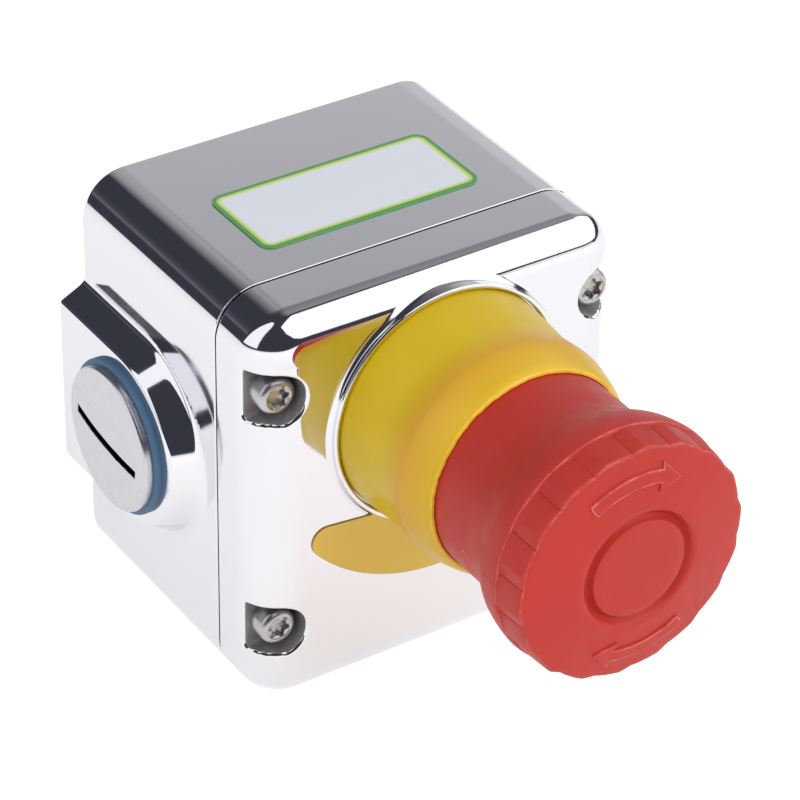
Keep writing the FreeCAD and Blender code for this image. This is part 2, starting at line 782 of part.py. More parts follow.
def terminal_screws(x, kind):
    """Two terminal screws with their heads towards the rear."""
    seat = strip_front(kind) + strip_thickness + terminal_clamp_thickness
    tip = strip_front(kind) - terminal_shank_reach + fit_gap
    return Part.makeCompound([terminal_screw(terminal_head_radius, terminal_head_height, terminal_shank_radius,
                                             seat, tip, x, button_z + side * terminal_offset)
                              for side in (1, -1)])


def contact_plunger(x, kind):
    """Square rod from the actuator into the chamber, with a slot for its bridge."""
    half = plunger_width / 2
    rod_shape = box(half, half, behind(actuator_rear), behind(plunger_rear), x, button_z)
    start = bridge_front(kind)
    return rod_shape.cut(box(bridge_width / 2, half, start, start + bridge_thickness, x, button_z))


def contact_bridge(x, kind):
    """Brass bar that joins the two fixed strips."""
    start = bridge_front(kind)
    return box(bridge_width / 2, bridge_half_length, start, start + bridge_thickness, x, button_z)


def contact_spring(x, kind):
    """Small coil that pushes the plunger back out."""
    return coil(contact_spring_radius, contact_spring_wire, contact_spring_turns,
                behind(plunger_rear), behind(chamber_rear), x, button_z)


def earth_saddle():
    """Square clamp plate on the earth boss."""
    half = earth_saddle_side / 2
    start = earth_seat_y - earth_saddle_thickness
    plate = box(half, half, start, earth_seat_y, 0, earth_z)
    return plate.cut(bar(small_bar_sides, earth_shank_radius + fit_gap, start, earth_seat_y,
                         0, earth_z))


def earth_screw():
    """Screw of the earth terminal."""
    seat = earth_seat_y - earth_saddle_thickness
    return terminal_screw(earth_head_radius, earth_head_height, earth_shank_radius,
                          seat, earth_seat_y + earth_shank_length - fit_gap, 0, earth_z)


def all_parts():
    """Every node's name with its shape."""
    makers = (enclosure_body, front_cover, cover_gasket, cover_screws, entry_plug, entry_seal, rating_label,
              legend_plate, guard_shroud, operator_barrel, spindle_seal, lock_washer, fixing_nut, latch_spring,
              return_spring, contact_carrier, carrier_screws, earth_screw, earth_saddle, actuator_plate,
              mushroom_head, spindle)
    parts = {make.__name__: make() for make in makers}
    block_makers = (contact_block, fixed_contacts, terminal_clamps, terminal_screws, contact_plunger,
                    contact_bridge, contact_spring)
    for name, x, kind in block_places():
        for make in block_makers:
            parts[make.__name__ + "_" + name] = make(x, kind)
    return parts


os.makedirs("parts", exist_ok=True)
for node, shape in all_parts().items():
    shape.exportStep(os.path.join("parts", node + ".step"))
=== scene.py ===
import json
import math

import bmesh
import bpy
import numpy as np
from mathutils import Matrix, Vector


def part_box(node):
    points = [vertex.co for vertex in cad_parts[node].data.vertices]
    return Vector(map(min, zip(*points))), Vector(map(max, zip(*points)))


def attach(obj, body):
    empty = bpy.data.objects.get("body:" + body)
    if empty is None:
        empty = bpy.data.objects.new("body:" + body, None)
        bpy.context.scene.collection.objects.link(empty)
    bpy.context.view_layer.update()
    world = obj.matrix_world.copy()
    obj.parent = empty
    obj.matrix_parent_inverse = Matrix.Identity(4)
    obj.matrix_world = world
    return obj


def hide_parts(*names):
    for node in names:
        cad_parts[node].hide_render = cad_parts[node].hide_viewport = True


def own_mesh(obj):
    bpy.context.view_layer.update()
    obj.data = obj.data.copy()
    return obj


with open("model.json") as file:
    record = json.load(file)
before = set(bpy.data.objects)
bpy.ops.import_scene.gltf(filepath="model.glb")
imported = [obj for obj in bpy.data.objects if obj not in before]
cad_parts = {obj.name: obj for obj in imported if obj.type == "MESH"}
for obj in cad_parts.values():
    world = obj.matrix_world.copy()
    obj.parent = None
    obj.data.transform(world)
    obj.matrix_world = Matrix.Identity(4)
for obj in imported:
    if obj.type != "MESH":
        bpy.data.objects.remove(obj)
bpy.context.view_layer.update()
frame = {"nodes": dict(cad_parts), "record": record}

bl_info = {
    "name": "Emergency stop button",
    "version": (1, 0, 0),
    "blender": (4, 5, 0),
    "location": "3D View > Sidebar > Stop button",
    "description": "Dresses the packed stop button with finished pieces, materials and a small studio",
    "category": "Object",
}

# One millimetre in metres: shapes are worked out in millimetres and stored in metres
MM = 0.001


def limits(node):
    """Lowest and highest corner of a CAD node, in millimetres."""
    low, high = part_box(node)
    return np.array(low) / MM, np.array(high) / MM


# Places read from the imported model
BODY_LOW = limits("enclosure_body")[0]
COVER_LOW, COVER_HIGH = limits("front_cover")
SHROUD_LOW, SHROUD_HIGH = limits("guard_shroud")
HEAD_LOW, HEAD_HIGH = limits("mushroom_head")
PLUG_LOW, PLUG_HIGH = limits("entry_plug")
SEAL_LOW, SEAL_HIGH = limits("entry_seal")
SCREW_LOW, SCREW_HIGH = limits("cover_screws")
LABEL_LOW, LABEL_HIGH = limits("rating_label")
LEGEND_LOW, LEGEND_HIGH = limits("legend_plate")
SPINDLE_LOW, SPINDLE_HIGH = limits("spindle")
HALF_WIDTH = COVER_HIGH[0]
HALF_HEIGHT = COVER_HIGH[2]
SEAM = COVER_HIGH[1]
RIM = BODY_LOW[1]
FACE = SHROUD_HIGH[1]
AXIS_Z = (SPINDLE_LOW[2] + SPINDLE_HIGH[2]) / 2
BOSS_FACE = BODY_LOW[0]
ENTRY_Y = (SEAL_LOW[1] + SEAL_HIGH[1]) / 2
HEAD_TOP = FACE - HEAD_LOW[1]
FLOOR_Z = COVER_LOW[2]


def linear(code):
    """Linear colour of an sRGB hex code, with alpha 1."""
    parts = [int(code[i:i + 2], 16) / 255 for i in (1, 3, 5)]
    return [p / 12.92 if p <= 0.04045 else ((p + 0.055) / 1.055) ** 2.4 for p in parts] + [1.0]


def size(name, millimetres, description):
    """A length property, given in millimetres."""
    return bpy.props.FloatProperty(name=name, description=description, default=millimetres * MM,
                                   unit="LENGTH", precision=5)


def shade(name, code, description):
    """A colour property, given as an sRGB hex code."""
    return bpy.props.FloatVectorProperty(name=name, description=description, subtype="COLOR", size=4,
                                         min=0.0, max=1.0, default=linear(code))


class StopButtonSizes(bpy.types.PropertyGroup):
    """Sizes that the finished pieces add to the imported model."""
    edge_round: size("Cover round", 8.6, "Radius of the cover's front edges and the box's corners")
    top_round: size("Top round", 6.0, "Radius of the cover's upper front edge")
    seam_round: size("Seam round", 0.24, "Radius along the seam between cover and body")
    rear_round: size("Rear round", 1.0, "Radius of the body's rear edge")
    wall: size("Wall", 4.0, "Wall of the casting")
    cover_wall: size("Cover wall", 4.5, "Thickness of the cover's face")
    pocket_radius: size("Pocket radius", 4.9, "Radius of the round end of a screw pocket")
    pocket_shift: size("Pocket shift", 0.6, "How far the pocket's centre lies outside its screw")
    pocket_lip: size("Pocket lip", 0.65, "Radius of the pocket's polished edge")
    collar_wall: size("Collar wall", 1.0, "Thickness of the collar round the shroud")
    collar_round: size("Collar round", 0.4, "Radius of the collar's edges")
    collar_fillet: size("Collar fillet", 1.0, "Fillet at the collar's root")
    boss_half_height: size("Boss half height", 16.6, "Half height of the cable entry boss at its face")
    boss_nose: size("Boss nose", 17.6, "Reach of the boss's round front end at its face")
    boss_flare: size("Boss flare", 2.6, "How much the boss widens towards the side")
    boss_fillet: size("Boss fillet", 1.0, "Fillet at the boss's root")
    boss_edge: size("Boss edge", 0.55, "Radius of the boss's front edge")
    tooth_height: size("Tooth height", 0.6, "Height of the grip's saw teeth")
    arrow_height: size("Arrow height", 0.42, "How far the arrows stand proud of the head's face")


class StopButtonColours(bpy.types.PropertyGroup):
    """Colours of the finishes."""
    steel: shade("Polished steel", "#e8e8ec", "Colour of the polished casting")
    casting: shade("Raw casting", "#a19f9d", "Colour of the casting where polish doesn't reach")
    screw: shade("Screw steel", "#c9c8c8", "Colour of the cap screws")
    plug: shade("Plated brass", "#d3d3d8", "Colour of the entry plug")
    red: shade("Red plastic", "#c73026", "Colour of the mushroom head")
    yellow: shade("Yellow plastic", "#e8c418", "Colour of the guard shroud")
    # Rim colour: a painted reflection of the red head, laid over the band near the shroud's mouth
    rim: shade("Yellow rim", "#e6ac2a", "Colour of the shroud's thin rim, where the red head shows through")
    legend: shade("Legend yellow", "#f6d158", "Colour of the legend plate")
    label: shade("Label white", "#ecf0fb", "Colour of the label's field")
    border: shade("Label border", "#5fa45c", "Colour of the label's border")
    line: shade("Label line", "#bfdf6c", "Colour of the light line inside the border")
    seal: shade("Blue seal", "#4f7396", "Colour of the plug's sealing washer")


def sizes_mm(context):
    """The size properties in millimetres, by name."""
    group = context.scene.stop_button_sizes
    return {name: getattr(group, name) / MM for name in StopButtonSizes.__annotations__}


# Distance functions: negative inside a shape, in millimetres

# Shift of all grid lines, so that none runs along a flat face
GRID_SHIFT = 0.0137
# How far a grid reaches past its shape
GRID_MARGIN = 0.6
# Steps that draw a point onto a surface
DRAW_STEPS = 6


def round_common(a, b, radius):
    """What two shapes share, with the edge between them rounded."""
    corner = np.hypot(np.maximum(a + radius, 0), np.maximum(b + radius, 0))
    return np.minimum(np.maximum(a, b), -radius) + corner


def round_joined(a, b, radius):
    """Two shapes joined by a fillet."""
    corner = np.hypot(np.maximum(radius - a, 0), np.maximum(radius - b, 0))
    return np.maximum(np.minimum(a, b), radius) - corner


def rounded_rectangle(across, up, half_across, half_up, radius):
    """Rectangle with round corners round the middle."""
    u = np.abs(across) - half_across + radius
    v = np.abs(up) - half_up + radius
    return np.hypot(np.maximum(u, 0), np.maximum(v, 0)) + np.minimum(np.maximum(u, v), 0) - radius


def grid_lines(*runs):
    """Grid positions from runs of (start, end, step), shifted off every round number."""
    lines = [np.linspace(start, end, max(1, round((end - start) / step)), endpoint=False)
             for start, end, step in runs]
    return np.concatenate(lines + [[runs[-1][1]]]) + GRID_SHIFT


def skin(distance, xs, ys, zs):
    """Surface of a distance function as points, quads and normals. One point lies in each grid cell that the
    surface crosses; it is then drawn onto the surface along the slope."""
    values = distance(*np.meshgrid(xs, ys, zs, indexing="ij"))
    inside = values < 0
    corners = [(i, j, k) for i in (0, 1) for j in (0, 1) for k in (0, 1)]
    shape = [n - 1 for n in inside.shape]
    filled = sum(inside[i:i + shape[0], j:j + shape[1], k:k + shape[2]].astype(np.int8)
                 for i, j, k in corners)
    cells = np.argwhere((filled > 0) & (filled < 8))
    number = np.full(shape, -1)
    number[tuple(cells.T)] = np.arange(len(cells))
    at = [np.stack([xs[cells[:, 0] + i], ys[cells[:, 1] + j], zs[cells[:, 2] + k]], 1)
          for i, j, k in corners]
    held = [values[cells[:, 0] + i, cells[:, 1] + j, cells[:, 2] + k] for i, j, k in corners]
    total = np.zeros((len(cells), 3))
    count = np.zeros(len(cells))
    for a, first in enumerate(corners):
        for b, second in enumerate(corners):
            if b <= a or sum(p != q for p, q in zip(first, second)) != 1:
                continue
            crossed = (held[a] < 0) != (held[b] < 0)
            share = np.where(crossed, held[a] / np.where(crossed, held[a] - held[b], 1), 0)
            total += crossed[:, None] * (at[a] + share[:, None] * (at[b] - at[a]))
            count += crossed
    points, normals = drawn_on(distance, total / count[:, None])
    quads = []
    for axis in range(3):
        lower = np.take(inside, range(inside.shape[axis] - 1), axis)
        upper = np.take(inside, range(1, inside.shape[axis]), axis)
        edges = np.argwhere(lower != upper)
        side, up = np.eye(3, dtype=int)[[(axis + 1) % 3, (axis + 2) % 3]]
        around = [edges - side - up, edges - up, edges, edges - side]
        ring = np.stack([number[tuple(cell.T)] for cell in around], 1)
        outward = lower[tuple(edges.T)]
        quads.append(np.where(outward[:, None], ring, ring[:, ::-1]))
    return points, np.concatenate(quads), normals


def refined(distance, points, quads, normals, where, turn=10.0, shortest=0.1, passes=3):
    """A skin as triangles. Inside a region its edges are halved wherever the surface turns by more than an
    angle in degrees along them and they are longer than the shortest."""
    a, b, c, d = quads.T
    flatter = ((normals[a] * normals[c]).sum(1) >= (normals[b] * normals[d]).sum(1))[:, None]
    faces = np.concatenate([np.where(flatter, np.stack(one, 1), np.stack(other, 1))
                            for one, other in (((a, b, c), (a, b, d)), ((a, c, d), (b, c, d)))])
    for _ in range(passes):
        pairs = np.sort(faces[:, [[0, 1], [1, 2], [2, 0]]].reshape(-1, 2), 1)
        edges, which = np.unique(pairs, axis=0, return_inverse=True)
        first, second = points[edges[:, 0]], points[edges[:, 1]]
        middle = (first + second) / 2
        bend = (normals[edges[:, 0]] * normals[edges[:, 1]]).sum(1)
        long = np.linalg.norm(first - second, axis=1) > shortest
        split = (bend < math.cos(math.radians(turn))) & long & where(*middle.T)
        number = np.where(split, len(points) + np.cumsum(split) - 1, -1)
        fresh, slopes = drawn_on(distance, middle[split])
        points, normals = np.concatenate([points, fresh]), np.concatenate([normals, slopes])
        halves = number[which.ravel()].reshape(-1, 3)
        cut = halves >= 0
        cuts = cut.sum(1)
        start = np.where(cuts == 1, cut.argmax(1), np.where(cuts == 2, (~cut).argmax(1), 0))
        order = (start[:, None] + np.arange(3)) % 3
        p, q, r = np.take_along_axis(faces, order, 1).T
        pq, qr, rp = np.take_along_axis(halves, order, 1).T
        plans = {0: ((p, q, r),),
                 1: ((p, pq, r), (pq, q, r)),
                 2: ((qr, r, rp), (p, q, qr), (p, qr, rp)),
                 3: ((p, pq, rp), (pq, q, qr), (rp, qr, r), (pq, qr, rp))}
        faces = np.concatenate([np.stack(corners, 1)[cuts == n]
                                for n, plan in plans.items() for corners in plan])
    return points, faces, normals


def drawn_on(distance, points):
    """Points moved onto the surface along its slope, and the normals there."""
    for _ in range(DRAW_STEPS):
        slope = slope_of(distance, points)
        points = points - slope * (distance(*points.T) / (slope ** 2).sum(1))[:, None]
    normals = slope_of(distance, points)
    return points, normals / np.linalg.norm(normals, axis=1)[:, None]


def slope_of(distance, points, step=1e-3):
    """Gradient of a distance function at points."""
    return np.stack([(distance(*(points + move).T) - distance(*(points - move).T)) / (2 * step)
                     for move in np.eye(3) * step], 1)


# Meshes

# Angle in degrees past which an edge stays sharp, where a piece names no other
SHARP = 35.0
# Points of a closed mesh that lie nearer than this, in metres, are one
SAME_PLACE = 1e-7


def circle(segments):
    """Angles of points all round."""
    return np.linspace(0, 2 * np.pi, segments, endpoint=False)


def bands(rows, count, closed=True):
    """Quads between neighbouring rows of points, each with the same count, round or open."""
    return [[start + k, start + (k + 1) % count, start + count + (k + 1) % count, start + count + k]
            for start in range(0, (rows - 1) * count, count) for k in range(count if closed else count - 1)]


def lathe(profile, segments):
    """Points and faces of a profile (radius, height) turned about the third axis. A profile that keeps off
    the axis closes into a ring."""
    turn = circle(segments)
    points, rings, faces = [], [], []
    for radius, height in profile:
        start = len(points)
        if radius < 1e-6:
            points.append((0, 0, height))
            rings.append([start] * segments)
            continue
        across, up = radius * np.cos(turn), radius * np.sin(turn)
        points.extend(np.stack([across, up, np.full(segments, height)], 1))
        rings.append(list(range(start, start + segments)))
    for low, high in zip(rings, rings[1:] + rings[:1]):
        for k in range(segments):
            nxt = (k + 1) % segments
            face = list(dict.fromkeys([low[k], low[nxt], high[nxt], high[k]]))
            if len(face) > 2:
                faces.append(face)
    return np.array(points), faces


def along_y(points):
    """Turns shapes made about the third axis so that it points to the front, round the button's axis."""
    x, z, out = points.T
    return np.stack([x, FACE - out, z + AXIS_Z], 1)


def along_x(points):
    """Turns shapes made about the third axis so that it points to the left, round the cable entry's axis."""
    y, z, out = points.T
    return np.stack([BOSS_FACE - out, ENTRY_Y + y, z], 1)


def smooth_through(points, count):
    """Points of a smooth line through given ones, count to each span."""
    made = []
    ends = [points[0]] + list(points) + [points[-1]]
    for p, q, r, s in zip(ends, ends[1:], ends[2:], ends[3:]):
        p, q, r, s = map(np.array, (p, q, r, s))
        for t in np.linspace(0, 1, count, endpoint=False):
            made.append(tuple(0.5 * (2 * q + (r - p) * t + (2 * p - 5 * q + 4 * r - s) * t ** 2
                                     + (3 * q - p - 3 * r + s) * t ** 3)))
    return made + [tuple(points[-1])]


def new_mesh(name, points, faces, wear_and_highlight=None):
    """A mesh from points in millimetres, with a share of edge wear and painted highlight at each."""
    mesh = bpy.data.meshes.new(name)
    mesh.from_pydata((np.asarray(points) * MM).tolist(), [], [list(map(int, face)) for face in faces])
    if wear_and_highlight is not None:
        mesh.attributes.new("wear_and_highlight", "FLOAT", "POINT").data.foreach_set("value", wear_and_highlight)
    return mesh


def piece(name, points, faces, materials, body, stands_for=(), normals=None, sharp=SHARP,
          which=None, wear_and_highlight=None):
    """A finished piece: its mesh in place, smooth, with its materials and its edges' wear and painted
    highlight, riding on a body.
    """
    mesh = new_mesh(name, points, faces, wear_and_highlight)
    for material in materials:
        mesh.materials.append(material)
    if which is not None:
        mesh.polygons.foreach_set("material_index", np.asarray(which, dtype=np.int32))
    finish_mesh(mesh, normals, sharp)
    return settle(bpy.data.objects.new(name, mesh), body, stands_for)


def finish_mesh(mesh, normals=None, sharp=SHARP):
    """Points a closed mesh's faces outwards and shades it smooth, by given normals or up to an angle."""
    if normals is None:
        work = bmesh.new()
        work.from_mesh(mesh)
        bmesh.ops.remove_doubles(work, verts=work.verts, dist=SAME_PLACE)
        bmesh.ops.recalc_face_normals(work, faces=work.faces)
        work.to_mesh(mesh)
        work.free()
    mesh.shade_smooth()
    if normals is None:
        mesh.set_sharp_from_angle(angle=math.radians(sharp))
    else:
        mesh.normals_split_custom_set_from_vertices(normals.tolist())


def settle(made, body, stands_for=()):
    """Links a piece, rides it on its body and hides the CAD nodes that it stands for."""
    bpy.context.scene.collection.objects.link(made)
    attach(made, body)
    if stands_for:
        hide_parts(*stands_for)
    return made


# Materials: a noise is (width of a feature in millimetres, detail, roughness). The real grain of moulded
# plastic, rubber, ink and drawn metal is near a tenth of a millimetre; it is drawn coarser, so that it shows.

# Part of a noise's range that is spread over a whole effect, and the whole of it
CLEAR, FAINT = (0.3, 0.7), (0.0, 1.0)
# Specks of dust: their spacing, their size as a share of it, and the patches that have some
SPECK_SPACING, SPECK_SIZE, SPECK_PATCHES, SPECK_SHARE = 3.2, 0.045, 6.0, 0.56
SPECK_COLOUR = "#e8d8d0"
# Rubbed edges with a painted highlight along them: width of the breaks in them, and the part of a noise over
# which they fade
WEAR_AND_HIGHLIGHT_BREAK, WEAR_AND_HIGHLIGHT_FROM, WEAR_AND_HIGHLIGHT_TO = 2.2, 0.42, 0.6


def add(tree, kind, inputs=None, **settings):
    """Adds a node with its settings, and sets or links its inputs."""
    made = tree.nodes.new(kind)
    for name, value in settings.items():
        setattr(made, name, value)
    for socket, value in (inputs or {}).items():
        if isinstance(value, bpy.types.NodeSocket):
            tree.links.new(value, made.inputs[socket])
        else:
            made.inputs[socket].default_value = value
    return made


def per_mm(millimetres):
    """Texture scale at which one feature is so many millimetres wide."""
    return 1 / (millimetres * MM)


def darker(colour, share):
    """A colour scaled towards black."""
    return [c * share for c in colour[:3]] + [1.0]


def empty_material(name):
    """A new material without nodes, in the place of one with its name, and its tree."""
    made = bpy.data.materials.get(name)
    if made:
        bpy.data.materials.remove(made)
    made = bpy.data.materials.new(name)
    made.use_nodes = True
    made.node_tree.nodes.clear()
    return made, made.node_tree


def finish(name, colour, cloud, rough, bumps=(), dark=1.0, patches=FAINT, gloss=None, layers=None, **shader):
    """A material on Object coordinates. A cloud of noise takes its colour from a darker shade to its own, and
    the gloss noise, or else the cloud, its roughness from one value to the other. Each bump is a noise with a
    height in millimetres. Layers are painted over the colour, and the rest goes to the shader's sockets."""
    made, tree = empty_material(name)
    place = add(tree, "ShaderNodeTexCoord").outputs["Object"]
    fields = {}
    for noise in dict.fromkeys([cloud, gloss or cloud] + [noise for noise, _ in bumps]):
        width, detail, grit = noise
        pattern = {"Vector": place, "Scale": per_mm(width), "Detail": detail, "Roughness": grit}
        fields[noise] = add(tree, "ShaderNodeTexNoise", pattern).outputs["Fac"]
    if dark < 1.0:
        share = add(tree, "ShaderNodeMapRange", {"Value": fields[cloud], "From Min": patches[0],
                                                 "From Max": patches[1]}).outputs["Result"]
        shades = {0: share, 6: darker(colour, dark), 7: colour}
        colour = add(tree, "ShaderNodeMix", shades, data_type="RGBA").outputs[2]
    if layers:
        colour = layers(tree, place, colour)
    shader["Base Color"] = colour
    shader["Roughness"] = rough[0]
    if rough[0] < rough[1]:
        shader["Roughness"] = add(tree, "ShaderNodeMapRange", {
            "Value": fields[gloss or cloud], "From Min": CLEAR[0], "From Max": CLEAR[1], "To Min": rough[0],
            "To Max": rough[1]}).outputs["Result"]
    for noise, height in bumps:
        relief = {"Height": fields[noise], "Distance": height * MM, "Strength": 1.0}
        if "Normal" in shader:
            relief["Normal"] = shader["Normal"]
        shader["Normal"] = add(tree, "ShaderNodeBump", relief).outputs["Normal"]
    surface = add(tree, "ShaderNodeBsdfPrincipled", shader).outputs["BSDF"]
    add(tree, "ShaderNodeOutputMaterial", {"Surface": surface})
    return made


def polished_steel(name, colour, rough):
    """Cast stainless steel, ground and buffed: a clear mirror with a faint swell left by the hand polish,
    fine pits from the casting and slightly duller patches."""
    swell, pits = ((11.0, 1.0, 0.5), 0.012), ((1.6, 3.0, 0.5), 0.0006)
    return finish(name, colour, (9.0, 4.0, 0.5), rough, (swell, pits), Metallic=1.0)


def raw_casting(colour):
    """The same casting inside the pockets, where the buff hardly reaches: greyer, softer, a little grainy."""
    grain = (0.9, 4.0, 0.6)
    return finish("milled_cast_steel", colour, grain, (0.4, 0.58), [(grain, 0.02)], dark=0.75, Metallic=0.55)


def screw_steel(colour):
    """Stainless cap screws: bright, turned, with a little tarnish."""
    return finish("turned_stainless_steel", colour, (1.8, 4.0, 0.5), (0.26, 0.38), [((0.5, 2.0, 0.5), 0.002)],
                  dark=0.8, patches=CLEAR, Metallic=1.0)


def plated_brass(colour):
    """Nickel plated brass with a satin, tumbled face: soft reflections and faint handling marks."""
    return finish("satin_nickel_plate", colour, (3.5, 5.0, 0.6), (0.24, 0.36), [((0.7, 3.0, 0.5), 0.006)],
                  dark=0.92, patches=CLEAR, Metallic=1.0)


def printed_film(name, colour):
    """Printed polyester film: smooth, a little glossy, with the faint orange peel of the ink."""
    return finish(name, colour, (4.0, 2.0, 0.5), (0.32, 0.32), [((0.6, 2.0, 0.5), 0.003)], dark=0.97)


def soft_rubber(name, colour):
    """Moulded rubber: matt, with a fine grain."""
    grain = (0.5, 3.0, 0.5)
    return finish(name, colour, grain, (0.42, 0.6), [(grain, 0.01)], dark=0.85)


def drawn_metal(name, colour, rough):
    """Drawn or pressed metal inside the box, and the painted shade in the plug's slot: semi-bright, with fine
    streaks.
    """
    return finish(name, colour, (0.8, 4.0, 0.5), (rough - 0.06, rough + 0.08), dark=0.85, Metallic=1.0)


def moulded_plastic(name, colour, grain, rough, specks, painted_reflection=None, worn_and_highlit=None):
    """Injection moulded plastic: even colour with faint flow clouds, a fine spark-eroded grain, a soft gloss
    and a few pale specks of dust. A painted reflection (colour, y where it starts, is full and has faded,
    share that stays) shades a band. Worn and highlit (colour, least and most share) paints a paler colour
    along the edges that the mesh marks, partly rubbed edges and partly a painted highlight, uneven as rubbed
    edges are."""

    def layers(tree, place, base):
        """Painted reflection, wear with painted highlight, and dust over the base colour; two shares
        multiplied say how far each one covers it.
        """
        coats = []
        if painted_reflection:
            other, start, full, end, stays = painted_reflection
            y = add(tree, "ShaderNodeSeparateXYZ", {"Vector": place}).outputs["Y"]
            rise = add(tree, "ShaderNodeMapRange", {"Value": y, "From Min": start * MM,
                                                    "From Max": full * MM})
            fall = add(tree, "ShaderNodeMapRange", {"Value": y, "From Min": full * MM, "From Max": end * MM,
                                                    "To Min": 1.0, "To Max": stays})
            coats.append((rise.outputs["Result"], fall.outputs["Result"], other))
        # Paler edges: partly rubbed plastic, partly a painted highlight
        if worn_and_highlit:
            other, least, most = worn_and_highlit
            marked = add(tree, "ShaderNodeAttribute", attribute_name="wear_and_highlight").outputs["Fac"]
            rubs_and_glints = add(tree, "ShaderNodeTexNoise", {"Vector": place, "Scale": per_mm(WEAR_AND_HIGHLIGHT_BREAK),
                                                    "Detail": 3.0})
            broken = add(tree, "ShaderNodeMapRange", {"Value": rubs_and_glints.outputs["Fac"], "From Min": WEAR_AND_HIGHLIGHT_FROM,
                                                      "From Max": WEAR_AND_HIGHLIGHT_TO, "To Min": least, "To Max": most})
            coats.append((marked, broken.outputs["Result"], other))
        dots = add(tree, "ShaderNodeTexVoronoi", {"Vector": place, "Scale": per_mm(SPECK_SPACING),
                                                  "Randomness": 1.0}).outputs["Distance"]
        dust = add(tree, "ShaderNodeMath", {0: dots, 1: SPECK_SIZE}, operation="LESS_THAN").outputs[0]
        few = add(tree, "ShaderNodeTexNoise", {"Vector": place, "Scale": per_mm(SPECK_PATCHES)})
        few = add(tree, "ShaderNodeMath", {0: few.outputs["Fac"], 1: SPECK_SHARE},
                  operation="GREATER_THAN").outputs[0]
        few = add(tree, "ShaderNodeMath", {0: few, 1: specks}, operation="MULTIPLY").outputs[0]
        coats.append((dust, few, linear(SPECK_COLOUR)))
        for first, second, other in coats:
            share = add(tree, "ShaderNodeMath", {0: first, 1: second}, operation="MULTIPLY").outputs[0]
            base = add(tree, "ShaderNodeMix", {0: share, 6: base, 7: other}, data_type="RGBA").outputs[2]
        return base

    return finish(name, colour, (14.0, 3.0, 0.5), (rough - 0.05, rough + 0.06), [((grain, 2.0, 0.5), 0.012)],
                  dark=0.93, patches=CLEAR, gloss=(2.5, 4.0, 0.5), layers=layers,
                  **{"Specular IOR Level": 0.4})


# Cast pieces

SCREW_HEAD_RADIUS = 3.5
SCREW_HEAD_HEIGHT = 4.4
SCREW_HEAD_ROUND = 1.1
SCREW_SHANK_RADIUS = 1.9
SCREW_X = (SCREW_HIGH[0] - SCREW_LOW[0]) / 2 - SCREW_HEAD_RADIUS
SCREW_ROWS = (SCREW_HIGH[2] - SCREW_HEAD_RADIUS, SCREW_LOW[2] + SCREW_HEAD_RADIUS)
SCREW_HOLE_RADIUS = 2.2
PILLAR_HALF = 4.55
POCKET_POST_HALF = 6.9
POCKET_FLOOR = SCREW_LOW[1] + SCREW_HEAD_HEIGHT
POCKET_FLOOR_ROUND = 0.9
# Waves in the lower wall of a pocket: how far below the screw they begin, their run-in and two heights
RIPPLE_START, RIPPLE_RUN, RIPPLE_LONG, RIPPLE_SHORT = 2.0, 1.5, 0.07, 0.04
BARREL_HOLE_RADIUS = 11.2
COLLAR_GAP, COLLAR_DEPTH = 0.15, 3.9
FIXING_X, FIXING_Z, FIXING_RADIUS, FIXING_DEPTH, FIXING_ROUND = 22.0, 28.0, 2.1, 7.5, 0.3
FIXING_PAD_HALF, FIXING_PAD_END = 5.0, 9.0
EARTH_Z, EARTH_HALF, EARTH_END = -24.0, 4.45, 12.0
ENTRY_RADIUS = 10.0


def post(x, z, row, half):
    """Square posts round the two screws of a row, joined to the side walls."""
    return np.maximum(np.abs(z - row) - half, SCREW_X - half - np.abs(x))


def outer_half(x, z, wall):
    """Which points lie in the outer half of the side walls."""
    return np.maximum(np.abs(x) - HALF_WIDTH, np.abs(z) - HALF_HEIGHT) > -wall / 2


